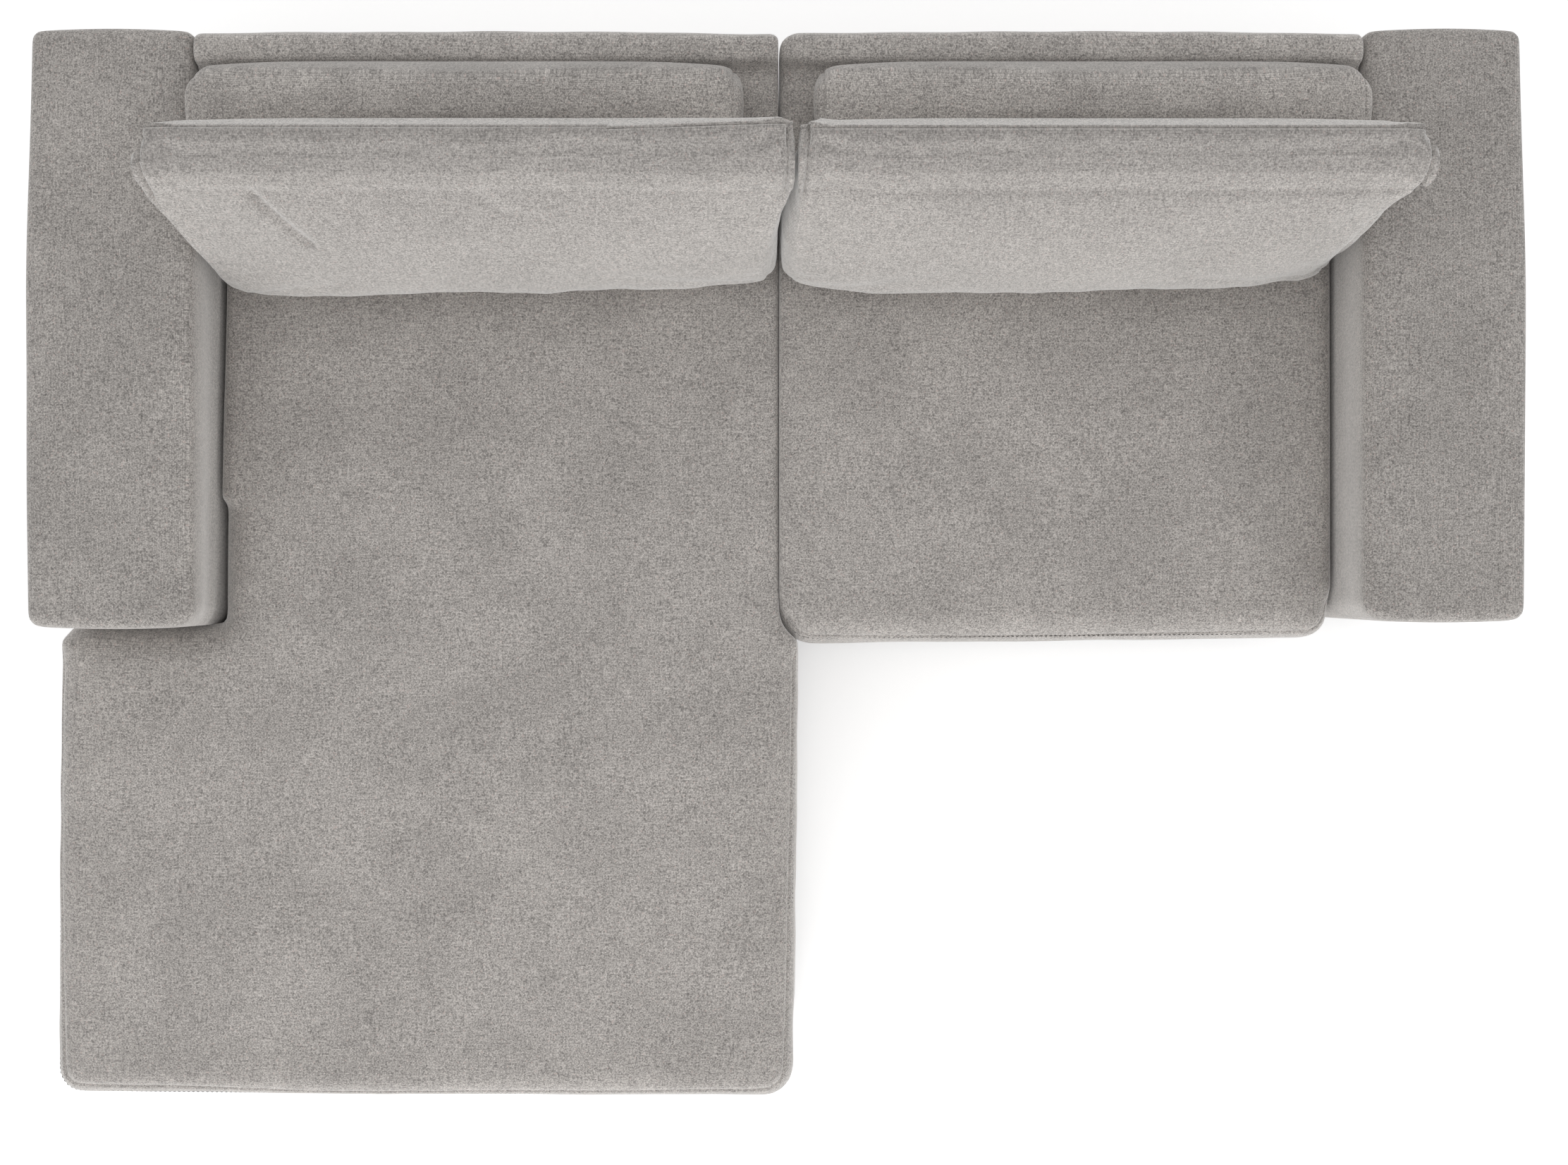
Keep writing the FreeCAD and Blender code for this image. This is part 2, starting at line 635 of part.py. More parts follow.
def save(name, shapes):
    """Write one sub-part, alone or as a group of separate solids."""
    solids = []
    for shape in shapes:
        solids.extend(shape.Solids)
    whole = solids[0] if len(solids) == 1 else Part.makeCompound(solids)
    for solid in solids:
        if not solid.isValid():
            print("not valid:", name)
    whole.exportStep("parts/" + name + ".step")
    print(name, len(solids), round(sum(solid.Volume for solid in solids) / 1000.0, 1), "cm3")


def arm_block(inset):
    """The right arm, drawn in by an inset."""
    block = box(
        RIGHT_ARM_X + inset, RIGHT_ARM_X + ARM_WIDTH - inset,
        ARM_FRONT_Y + inset, REAR_Y - inset,
        UNDERSIDE + inset, ARM_HEIGHT - inset)
    low = UNDERSIDE + inset + CUT
    edges = [edge for edge in block.Edges if edge.CenterOfMass.z > low]
    return block.makeFillet(ARM_EDGE_RADIUS - inset, edges)


def arm_frame():
    """Panels, rails, top board and foot blocks inside the right arm."""
    inset = COVER + 2.0 * FIT + ARM_PADDING
    x0 = RIGHT_ARM_X + inset
    x1 = RIGHT_ARM_X + ARM_WIDTH - inset
    y0 = ARM_FRONT_Y + inset
    y1 = REAR_Y - inset
    z0 = UNDERSIDE + COVER + FIT
    z1 = ARM_HEIGHT - inset
    middle = (y0 + y1 - PANEL) / 2.0
    pieces = [box(x0, x1, y0, y1, z1 - PANEL, z1)]
    for y in (y0, middle, y1 - PANEL):
        pieces.append(box(x0, x1, y, y + PANEL, z0, z1 - PANEL))
    for start, end in ((y0 + PANEL, middle), (middle + PANEL, y1 - PANEL)):
        for x in (x0, x1 - PANEL):
            pieces.append(box(x, x + PANEL, start, end, z0, z0 + ARM_RAIL_HEIGHT))
            pieces.append(box(x, x + PANEL, start, end, z1 - PANEL - ARM_RAIL_HEIGHT, z1 - PANEL))
    for y in (y0 + PANEL, y1 - PANEL - BLOCK_LEG):
        pieces.append(box(x0 + PANEL, x1 - PANEL, y, y + BLOCK_LEG, z0, z0 + BLOCK_HEIGHT))
    return pieces


def arm_foot_spots():
    """Where the two feet under the right arm are bolted on."""
    inset = COVER + 2.0 * FIT + ARM_PADDING + PANEL + BLOCK_LEG / 2.0
    x = RIGHT_ARM_X + ARM_WIDTH / 2.0
    return [(x, ARM_FRONT_Y + inset), (x, REAR_Y - inset)]


def arm_bolts(grow):
    """The bolts that hold the right arm on the seat's side rail."""
    x0 = RIGHT_ARM_X - FIT - FRAME_INSET - BOARD
    x1 = RIGHT_ARM_X + COVER + 2.0 * FIT + ARM_PADDING + PANEL
    z = RAIL_BOTTOM + ARM_BOLT_RISE
    along = Vector(1.0, 0.0, 0.0)
    seat_block = SEAT_FRONT_Y + FRAME_INSET + BOARD + BLOCK_LEG
    arm_block_rear = ARM_FRONT_Y + COVER + 2.0 * FIT + ARM_PADDING + PANEL + BLOCK_LEG
    front_y = max(seat_block, arm_block_rear) + ARM_BOLT_MARGIN
    rear_y = BACK_Y - FIT - FRAME_INSET - BOARD - BLOCK_LEG - ARM_BOLT_MARGIN
    bolts = []
    for y in (front_y, rear_y):
        shank = Part.makeCylinder(BOLT_RADIUS + grow, x1 - x0, Vector(x0, y, z), along)
        head = Part.makeCylinder(
            BOLT_HEAD_RADIUS, BOLT_HEAD_HEIGHT, Vector(x0 - BOLT_HEAD_HEIGHT, y, z), along)
        bolts.append(shank.fuse(head))
    return bolts


def foot(x, y):
    """A tapered block foot with a stepped bore for its bolt."""
    half = FOOT_SIZE / 2.0
    wires = []
    for z, size in ((GLIDE_HEIGHT, half - FOOT_TAPER), (UNDERSIDE, half)):
        corners = [
            Vector(x - size, y - size, z),
            Vector(x + size, y - size, z),
            Vector(x + size, y + size, z),
            Vector(x - size, y + size, z)]
        wires.append(corner_loop(corners, [FOOT_TAPER] * 4))
    block = Part.makeLoft(wires, True, True)
    step = GLIDE_HEIGHT + BOLT_HEAD_HEIGHT + SLIP
    bore = post(BOLT_RADIUS + FIT, x, y, 0.0, UNDERSIDE + CUT)
    counterbore = post(BOLT_HEAD_RADIUS + FIT, x, y, 0.0, step)
    return block.cut(bore.fuse(counterbore))


def foot_bolt(x, y, grow):
    """The bolt that holds a foot, with its head inside the foot."""
    head_z = GLIDE_HEIGHT + SLIP
    shank = post(BOLT_RADIUS + grow, x, y, head_z + CUT, RAIL_BOTTOM + BOLT_REACH)
    return shank.fuse(post(BOLT_HEAD_RADIUS, x, y, head_z, head_z + BOLT_HEAD_HEIGHT))


def back_frame():
    """Rails and panels inside the right back."""
    x0 = SEAM_X + BACK_FRAME_END_GAP
    x1 = RIGHT_ARM_X - BACK_FRAME_END_GAP
    y0 = BACK_Y + BACK_FRAME_SETBACK
    y1 = y0 + BACK_FRAME_DEPTH
    z0 = UNDERSIDE + COVER + FIT
    side = BACK_RAIL_SECTION
    rails = []
    for z in (z0, BACK_RAIL_TOP - side):
        for y in (y0, y1 - side):
            rails.append(box(x0, x1, y, y + side, z, z + side))
    panels = []
    for x in (x0, (x0 + x1 - PANEL) / 2.0, x1 - PANEL):
        panels.append(box(x, x + PANEL, y0, y1, z0 + side, BACK_RAIL_TOP - side))
    webs = []
    pitch = (x1 - x0) / WEB_COUNT
    for i in range(WEB_COUNT):
        x = x0 + pitch * (i + 0.5)
        webs.append(box(x - WEB_WIDTH / 2.0, x + WEB_WIDTH / 2.0, y0 - WEB_THICKNESS, y0, z0, BACK_RAIL_TOP))
    return rails, panels, webs


def back_upholstery(seam_radius):
    """The right back's cover and its foam, which the frame and the hinge legs stand in."""
    cover = back_block(0.0, seam_radius).cut(back_block(COVER, seam_radius))
    foam = back_block(COVER + FIT, seam_radius)
    front = BACK_Y + BACK_FRAME_SETBACK - WEB_THICKNESS - FIT
    rear = BACK_Y + BACK_FRAME_SETBACK + BACK_FRAME_DEPTH + FIT
    foam = foam.cut(box(
        SEAM_X, RIGHT_ARM_X, front, rear, 0.0, BACK_RAIL_TOP + FIT))
    for x in HINGE_XS:
        cover = cover.cut(hinge_leg(x, SLIP))
        foam = foam.cut(hinge_leg(x, SLIP))
    return cover, foam


def headrest_board():
    """The plywood board inside the right headrest."""
    x0 = PAD_LEFT + PAD_BOARD_END_GAP
    x1 = PAD_RIGHT - PAD_BOARD_END_GAP
    y0 = PIVOT_Y + PAD_BOARD_SETBACK
    return box(x0, x1, y0, y0 + PAD_BOARD_DEPTH, PAD_BOARD_Z, PAD_BOARD_Z + PAD_BOARD_THICKNESS)


def headrest_upholstery():
    """The right headrest's cover and foam, slotted for the hinges."""
    cover = pad_block(0.0).cut(pad_block(COVER))
    foam = pad_block(COVER + FIT)
    board = headrest_board().BoundBox
    foam = foam.cut(box(
        board.XMin - FIT, board.XMax + FIT, board.YMin - FIT, board.YMax + FIT,
        board.ZMin - FIT, board.ZMax + FIT))
    half = HINGE_PLATE / 2.0
    head = half + FIT + HINGE_LEAF_PLATE + FIT + HINGE_HEAD + SLIP
    for x in HINGE_XS:
        cover = cover.cut(hinge_pocket(x, -half - SLIP, half + SLIP))
        foam = foam.cut(hinge_pocket(x, -head, head))
        foam = foam.cut(hinge_leaf(x, FIT))
    return cover, foam


def cushion_set(x, shift, crown_centre, crown_radius):
    """One loose back cushion: cover, fill and zip."""
    low_front = BACK_Y - CUSHION_BACK_GAP - CUSHION_FOOT_DEPTH + CUSHION_SLOPE * cushion_stations()[0][1]
    half = CUSHION_WIDTH / 2.0
    nearest = min(max(crown_centre.x, x - half), x + half)
    base = crown_height(crown_centre, crown_radius, nearest, low_front) + FIT
    y = BACK_Y - CUSHION_BACK_GAP - CUSHION_FOOT_DEPTH / 2.0
    zip_left = x - ZIP_LENGTH / 2.0
    zip_right = x + ZIP_LENGTH / 2.0
    zip_strip = box(
        zip_left, zip_right, y - ZIP_WIDTH / 2.0, y + ZIP_WIDTH / 2.0, base, base + ZIP_THICKNESS)
    groove = box(
        zip_left - FIT, zip_right + FIT, y - ZIP_WIDTH / 2.0 - FIT, y + ZIP_WIDTH / 2.0 + FIT,
        base - CUT, base + ZIP_THICKNESS + PIN_FIT)
    cover = cushion_block(x, base, shift, 0.0).cut(cushion_block(x, base, shift, COVER)).cut(groove)
    fill = cushion_block(x, base, shift, COVER + FIT)
    return cover, fill, zip_strip


def trimmed(shape, wire):
    """A rail cut to the rounded outline that the base cover follows."""
    return shape.common(slab(wire, FRAME_INSET, 0.0, DECK))


def drilled(shape, tools):
    """A shape with holes cut by a list of tools."""
    for tool in tools:
        shape = shape.cut(tool)
    return shape


# Outlines, and the base frame's own edges
chaise_wire = chaise_plan()
seat_wire = right_seat_plan()
chaise_left = CHAISE_LEFT_X + FRAME_INSET
chaise_front = CHAISE_FRONT_Y + FRAME_INSET
chaise_nose = CHAISE_RIGHT_X - FRAME_INSET
chaise_seam = SEAM_X - FIT - FRAME_INSET
chaise_inner = LEFT_ARM_X + FIT + FRAME_INSET
chaise_return = ARM_FRONT_Y - FIT - FRAME_INSET
rail_rear = BACK_Y - FIT - FRAME_INSET
cross_y = SEAT_FRONT_Y - FRAME_INSET
seat_left = SEAM_X + FIT + FRAME_INSET
seat_right = RIGHT_ARM_X - FIT - FRAME_INSET
seat_front = SEAT_FRONT_Y + FRAME_INSET

# Rails of the chaise
chaise_sides = [
    rail_y(chaise_left, chaise_front + BOARD, chaise_return - BOARD),
    rail_y(chaise_inner, chaise_front + BOARD, rail_rear - BOARD),
    rail_y(chaise_nose - BOARD, chaise_front + BOARD, cross_y - BOARD),
    rail_y(chaise_seam - BOARD, cross_y, rail_rear - BOARD)]
chaise_cross = [
    rail_x(chaise_left, chaise_inner, chaise_return - BOARD),
    rail_x(chaise_inner + BOARD, chaise_nose, cross_y - BOARD)]

# Rails of the right seat
seat_sides = [
    rail_y(seat_left, seat_front + BOARD, rail_rear - BOARD),
    rail_y(seat_right - BOARD, seat_front + BOARD, rail_rear - BOARD)]

# Corner blocks as places and turns, those that carry a foot first
footed_corners = [
    (chaise_left + BOARD, chaise_front + BOARD, 1.0, 1.0),
    (chaise_nose - BOARD, chaise_front + BOARD, -1.0, 1.0),
    (chaise_seam - BOARD, cross_y, -1.0, 1.0),
    (chaise_seam - BOARD, rail_rear - BOARD, -1.0, -1.0),
    (seat_left + BOARD, seat_front + BOARD, 1.0, 1.0),
    (seat_left + BOARD, rail_rear - BOARD, 1.0, -1.0)]
plain_corners = [
    (chaise_left + BOARD, chaise_return - BOARD, 1.0, -1.0),
    (chaise_nose - BOARD, cross_y - BOARD, -1.0, -1.0),
    (chaise_inner + BOARD, cross_y, 1.0, 1.0),
    (chaise_inner + BOARD, rail_rear - BOARD, 1.0, -1.0),
    (seat_right - BOARD, seat_front + BOARD, -1.0, 1.0),
    (seat_right - BOARD, rail_rear - BOARD, -1.0, -1.0)]

# Feet and their bolts
left_arm_spots = [(2.0 * SEAM_X - x, y) for x, y in arm_foot_spots()]
foot_spots = [block_bolt_spot(*corner) for corner in footed_corners] + arm_foot_spots() + left_arm_spots
foot_holes = [foot_bolt(x, y, PIN_FIT) for x, y in foot_spots]
save("feet", [foot(x, y) for x, y in foot_spots])
save("foot_glides", [post(GLIDE_RADIUS, x, y, 0.0, GLIDE_HEIGHT) for x, y in foot_spots])
save("foot_bolts", [foot_bolt(x, y, 0.0) for x, y in foot_spots])

# Plates and screws that join the two modules under the seam
plates = []
plate_screws = []
screw_holes = []
for y in (cross_y + PLATE_END_DISTANCE, rail_rear - PLATE_END_DISTANCE):
    screw_x = FIT + FRAME_INSET + BOARD / 2.0
    plate = box(
        SEAM_X - PLATE_LENGTH / 2.0, SEAM_X + PLATE_LENGTH / 2.0,
        y - PLATE_WIDTH / 2.0, y + PLATE_WIDTH / 2.0,
        UNDERSIDE - PLATE_THICKNESS, UNDERSIDE)
    for x in (SEAM_X - screw_x, SEAM_X + screw_x):
        for screw_y in (y - PLATE_WIDTH / 4.0, y + PLATE_WIDTH / 4.0):
            low = UNDERSIDE - PLATE_THICKNESS
            head = post(SCREW_HEAD_RADIUS, x, screw_y, low - SCREW_HEAD_HEIGHT, low)
            plate_screws.append(post(SCREW_RADIUS, x, screw_y, low, low + SCREW_REACH).fuse(head))
            screw_holes.append(post(SCREW_RADIUS + PIN_FIT, x, screw_y, low - CUT, low + SCREW_REACH))
    plates.append(plate)
plates = [drilled(plate, screw_holes) for plate in plates]
save("connector_plates", plates)
save("connector_screws", plate_screws)

# Arm bolts, and the holes that they need on both sides
right_bolt_holes = arm_bolts(PIN_FIT)
left_bolt_holes = [mirrored(hole) for hole in right_bolt_holes]
save("arm_bolts", arm_bolts(0.0) + [mirrored(bolt) for bolt in arm_bolts(0.0)])

# Timber of the bases
blocks = []
for corner in footed_corners + plain_corners:
    outline = chaise_wire if corner[0] < SEAM_X else seat_wire
    blocks.append(drilled(trimmed(corner_block(*corner), outline), foot_holes))
save("corner_blocks", blocks)
save("chaise_front_rail", [trimmed(rail_x(chaise_left, chaise_nose, chaise_front), chaise_wire)])
save("chaise_rear_rail", [trimmed(rail_x(chaise_inner, chaise_seam, rail_rear - BOARD), chaise_wire)])
save("chaise_side_rails", [
    drilled(trimmed(rail, chaise_wire), left_bolt_holes + screw_holes) for rail in chaise_sides])
save("chaise_cross_rails", [trimmed(rail, chaise_wire) for rail in chaise_cross])
save("seat_front_rail", [trimmed(rail_x(seat_left, seat_right, seat_front), seat_wire)])
save("seat_rear_rail", [trimmed(rail_x(seat_left, seat_right, rail_rear - BOARD), seat_wire)])
save("seat_side_rails", [
    drilled(trimmed(rail, seat_wire), right_bolt_holes + screw_holes) for rail in seat_sides])

# Springs and clips. The clips at the rear half stand between those of the front half on the cross rail
half_pitch = (chaise_nose - chaise_inner - 2.0 * BOARD) / CHAISE_FRONT_SPRINGS / 2.0
front_springs, front_clips = spring_field(
    chaise_inner + BOARD, chaise_nose - BOARD, chaise_front + BOARD, cross_y - BOARD, CHAISE_FRONT_SPRINGS)
corner_springs, corner_clips = spring_field(
    chaise_left + BOARD, chaise_inner, chaise_front + BOARD, chaise_return - BOARD, CHAISE_CORNER_SPRINGS)
rear_springs, rear_clips = spring_field(
    chaise_inner + BOARD + half_pitch, chaise_nose - BOARD - half_pitch,
    cross_y, rail_rear - BOARD, CHAISE_FRONT_SPRINGS - 1)
seat_springs, seat_clips = spring_field(
    seat_left + BOARD, seat_right - BOARD, seat_front + BOARD, rail_rear - BOARD, SEAT_SPRINGS)
save("chaise_springs", front_springs + corner_springs + rear_springs)
save("seat_springs", seat_springs)
save("spring_clips", front_clips + corner_clips + rear_clips + seat_clips)

# Upholstery of the bases
for name, wire, holes in (
        ("chaise", chaise_wire, left_bolt_holes), ("seat", seat_wire, right_bolt_holes)):
    save(name + "_base_cover", [
        drilled(ring(wire, BASE_STEP, BASE_STEP + COVER, RAIL_BOTTOM, DECK), holes)])
    save(name + "_dust_cover", [
        drilled(slab(wire, BASE_STEP, UNDERSIDE, RAIL_BOTTOM), foot_holes + screw_holes)])
chaise_cover, chaise_foam = seat_upholstery(chaise_wire, CHAISE_CROWN_CENTRE, CHAISE_CROWN_RADIUS)
seat_cover, seat_foam = seat_upholstery(seat_wire, SEAT_CROWN_CENTRE, SEAT_CROWN_RADIUS)
save("chaise_seat_cover", [chaise_cover])
save("chaise_seat_foam", [chaise_foam])
save("seat_cover", [seat_cover])
save("seat_foam", [seat_foam])

# Arms
arm_pieces = [drilled(piece, foot_holes + right_bolt_holes) for piece in arm_frame()]
arm_cover = drilled(arm_block(0.0).cut(arm_block(COVER)), foot_holes + right_bolt_holes)
shell = COVER + FIT + ARM_PADDING
arm_foam = arm_block(COVER + FIT).cut(box(
    RIGHT_ARM_X + shell, RIGHT_ARM_X + ARM_WIDTH - shell, ARM_FRONT_Y + shell, REAR_Y - shell,
    0.0, ARM_HEIGHT - shell))
arm_foam = drilled(arm_foam, right_bolt_holes)
save("right_arm_frame", arm_pieces)
save("right_arm_foam", [arm_foam])
save("right_arm_cover", [arm_cover])
save("left_arm_frame", [mirrored(piece) for piece in arm_pieces])
save("left_arm_foam", [mirrored(arm_foam)])
save("left_arm_cover", [mirrored(arm_cover)])

# Fixed backs
back_rails, back_panels, back_webs = back_frame()
for side, corner, turned in (
        ("right", RIGHT_BACK_SEAM_RADIUS, False), ("left", LEFT_BACK_SEAM_RADIUS, True)):
    cover, foam = back_upholstery(corner)
    for name, pieces in (
            ("back_rails", back_rails), ("back_panels", back_panels), ("back_webbing", back_webs),
            ("back_foam", [foam]), ("back_cover", [cover])):
        if turned:
            pieces = [mirrored(piece) for piece in pieces]
        save(side + "_" + name, pieces)

# Headrests and their hinges
board = headrest_board()
headrest_cover, headrest_foam = headrest_upholstery()
legs = []
leaves = []
pins = []
for x in HINGE_XS:
    legs.append(hinge_leg(x, 0.0).cut(pin_hole(x)))
    leaves.append(hinge_leaf(x, 0.0).cut(pin_hole(x)))
    pins.append(hinge_pin(x))
for name, pieces in (
        ("headrest_board", [board]), ("headrest_foam", [headrest_foam]),
        ("headrest_cover", [headrest_cover]), ("hinge_legs", legs), ("hinge_leaves", leaves),
        ("hinge_pins", pins)):
    save("right_" + name, pieces)
    save("left_" + name, [mirrored(piece) for piece in pieces])

# Loose back cushions
for side, x, shift, centre, radius in (
        ("right", SEAM_X + SEAT_WIDTH / 2.0, RIGHT_CUSHION_SHIFT, SEAT_CROWN_CENTRE, SEAT_CROWN_RADIUS),
        ("left", SEAM_X - SEAT_WIDTH / 2.0, LEFT_CUSHION_SHIFT, CHAISE_CROWN_CENTRE, CHAISE_CROWN_RADIUS)):
    cover, fill, zip_strip = cushion_set(x, shift, centre, radius)
    save(side + "_cushion_cover", [cover])
    save(side + "_cushion_fill", [fill])
    save(side + "_cushion_zip", [zip_strip])
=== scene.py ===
"""Looks of a lounge sofa with a chaise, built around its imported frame.

Everything is in metres in the frame's own axes: +Z up, the backs at +Y, the chaise at -X.
"""

import itertools
import json
import logging
import math
from dataclasses import dataclass
from enum import Enum
from functools import partial
from typing import Callable, Iterable, Union

import bmesh
import bpy
import numpy as np
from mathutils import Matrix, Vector


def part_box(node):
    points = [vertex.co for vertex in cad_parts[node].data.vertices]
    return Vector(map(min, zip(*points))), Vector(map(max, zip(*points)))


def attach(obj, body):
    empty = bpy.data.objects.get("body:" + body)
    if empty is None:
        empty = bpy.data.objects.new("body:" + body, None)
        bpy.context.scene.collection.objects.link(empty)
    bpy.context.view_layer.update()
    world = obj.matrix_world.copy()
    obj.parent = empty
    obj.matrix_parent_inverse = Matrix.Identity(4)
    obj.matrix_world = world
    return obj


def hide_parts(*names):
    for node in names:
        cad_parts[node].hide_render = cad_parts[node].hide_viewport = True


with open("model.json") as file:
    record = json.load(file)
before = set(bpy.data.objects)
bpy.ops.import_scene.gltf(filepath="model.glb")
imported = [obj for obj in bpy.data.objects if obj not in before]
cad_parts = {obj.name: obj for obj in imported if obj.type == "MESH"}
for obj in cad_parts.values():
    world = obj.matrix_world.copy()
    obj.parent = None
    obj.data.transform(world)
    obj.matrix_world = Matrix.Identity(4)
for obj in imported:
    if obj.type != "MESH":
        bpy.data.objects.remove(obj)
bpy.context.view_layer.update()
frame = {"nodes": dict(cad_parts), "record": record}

log = logging.getLogger("sofa")

Array = np.ndarray
Piece = bpy.types.Object
Material = bpy.types.Material
Tree = bpy.types.NodeTree
Node = bpy.types.Node
Socket = bpy.types.NodeSocket
Input = Union[float, tuple, Socket]

MM = 0.001
SKIN = 0.0005  # how far a cover stays off the level that it rests on
X_WAY, Y_WAY, Z_WAY = (1.0, 0.0, 0.0), (0.0, 1.0, 0.0), (0.0, 0.0, 1.0)


class Ribs(Enum):
    """Which way the rows of the weave run over the top of a piece."""

    ACROSS = 0.0
    LENGTHWISE = 1.0


class Side(Enum):
    """One of the two modules, with the sign of X that leads from the seam to its arm."""

    LEFT = -1.0
    RIGHT = 1.0

    @property
    def word(self) -> str:
        """The side as it stands in the names of the frame's nodes."""
        return self.name.lower()

    @property
    def module(self) -> str:
        """The module as it stands in the names of the frame's nodes."""
        return "chaise" if self is Side.LEFT else "seat"


# Node trees


class Graph:
    """Writes a node tree in few words."""

    def __init__(self, tree: Tree) -> None:
        """Takes over a tree and empties it."""
        self.tree = tree
        tree.nodes.clear()

    def feed(self, socket: Socket, value: Input) -> None:
        """Links a socket to another socket, or sets its value."""
        if isinstance(value, Socket):
            self.tree.links.new(value, socket)
        else:
            socket.default_value = value

    def add(self, kind: str, inputs: dict | None = None, **settings) -> Node:
        """Adds a node.

        Args:
            kind: Blender's name of the node type, without ShaderNode.
            inputs: Values or sockets by input name or number.
            **settings: Properties of the node.

        Returns:
            The new node.
        """
        node = self.tree.nodes.new(kind if kind.startswith("Node") else "ShaderNode" + kind)
        for name, value in settings.items():
            setattr(node, name, value)
        for name, value in (inputs or {}).items():
            self.feed(node.inputs[name], value)
        return node

    def math(self, operation: str, *values: Input) -> Socket:
        """The result of one Math node."""
        return self.add("Math", dict(enumerate(values)), operation=operation).outputs[0]

    def times(self, a: Input, b: Input) -> Socket:
        """The product of two numbers."""
        return self.math("MULTIPLY", a, b)

    def nudge(self, base: Input, noise: Input, amount: Input) -> Socket:
        """A number moved up and down by a noise around one half."""
        return self.math("MULTIPLY_ADD", self.math("SUBTRACT", noise, 0.5), amount, base)

    def hump(self, value: Input) -> Socket:
        """One half wave over each whole step of a number."""
        return self.math("SINE", self.times(self.math("FRACT", value), math.pi))

    def blend(self, share: Input, low: Input, high: Input) -> Socket:
        """A number between two others."""
        return self.add("Mix", {0: share, 2: low, 3: high}, data_type="FLOAT").outputs[0]

    def tint(self, share: Input, low: Input, high: Input, kind: str = "MIX") -> Socket:
        """A colour made from two others."""
        return self.add("Mix", {0: share, 6: low, 7: high}, data_type="RGBA", blend_type=kind).outputs[2]

    def step(self, value: Input, low: float, high: float) -> Socket:
        """A smooth rise from 0 to 1 between two limits."""
        inputs = {0: value, 1: low, 2: high, 3: 0.0, 4: 1.0}
        return self.add("MapRange", inputs, interpolation_type="SMOOTHSTEP").outputs[0]

    def noise(
            self, where: Input, scale: Input, detail: float = 2.0, out: int | str = 0,
            **more: float) -> Socket:
        """Soft noise from 0 to 1, or its colour."""
        return self.add("TexNoise", {"Vector": where, "Scale": scale, "Detail": detail, **more}).outputs[out]

    def parts(self, vector: Input) -> list[Socket]:
        """The three numbers of a vector."""
        return list(self.add("SeparateXYZ", {0: vector}).outputs)

    def join(self, x: Input, y: Input, z: Input = 0.0) -> Socket:
        """A vector from three numbers."""
        return self.add("CombineXYZ", {0: x, 1: y, 2: z}).outputs[0]


class Surface(Graph):
    """The node tree of a new material, with a Principled shader that is wired to its output."""

    def __init__(self, name: str) -> None:
        """Makes the material."""
        self.material = bpy.data.materials.new(name)
        self.material.use_nodes = True
        super().__init__(self.material.node_tree)
        self.shader = self.add("BsdfPrincipled")
        self.add("OutputMaterial", {"Surface": self.shader.outputs[0]})

    def set(self, inputs: dict[str, Input]) -> None:
        """Feeds some of the shader's inputs."""
        for name, value in inputs.items():
            self.feed(self.shader.inputs[name], value)

    def dress(self, colour: Input, rough: Input, height: Socket, strength: float, depth: float) -> Material:
        """Gives the shader its colour, its roughness and its relief.

        Args:
            colour: The base colour.
            rough: The roughness.
            height: The relief's height, from 0 to 1.
            strength: How strongly the relief shows.
            depth: How deep it is, in metres.

        Returns:
            The finished material.
        """
        bump = self.add("Bump", {"Strength": strength, "Distance": depth, "Height": height})
        self.set({"Base Color": colour, "Roughness": rough, "Normal": bump.outputs[0]})
        return self.material


def new_group(name: str, takes: dict[str, float], gives: Iterable[str]) -> tuple[Graph, dict]:
    """Makes an empty shader group with its sockets.

    Args:
        name: The group's name.
        takes: Its number inputs and their defaults.
        gives: Its number outputs.

    Returns:
        The graph, and the group's own inputs by name.
    """
    tree = bpy.data.node_groups.new(name, "ShaderNodeTree")
    for word, value in takes.items():
        tree.interface.new_socket(word, in_out="INPUT", socket_type="NodeSocketFloat").default_value = value
    for word in gives:
        tree.interface.new_socket(word, in_out="OUTPUT", socket_type="NodeSocketFloat")
    graph = Graph(tree)
    entry = graph.add("NodeGroupInput")
    return graph, {word: entry.outputs[word] for word in takes}


def close_group(graph: Graph, results: dict[str, Socket]) -> Tree:
    """Feeds a group's outputs and returns its tree."""
    graph.add("NodeGroupOutput", results)
    return graph.tree


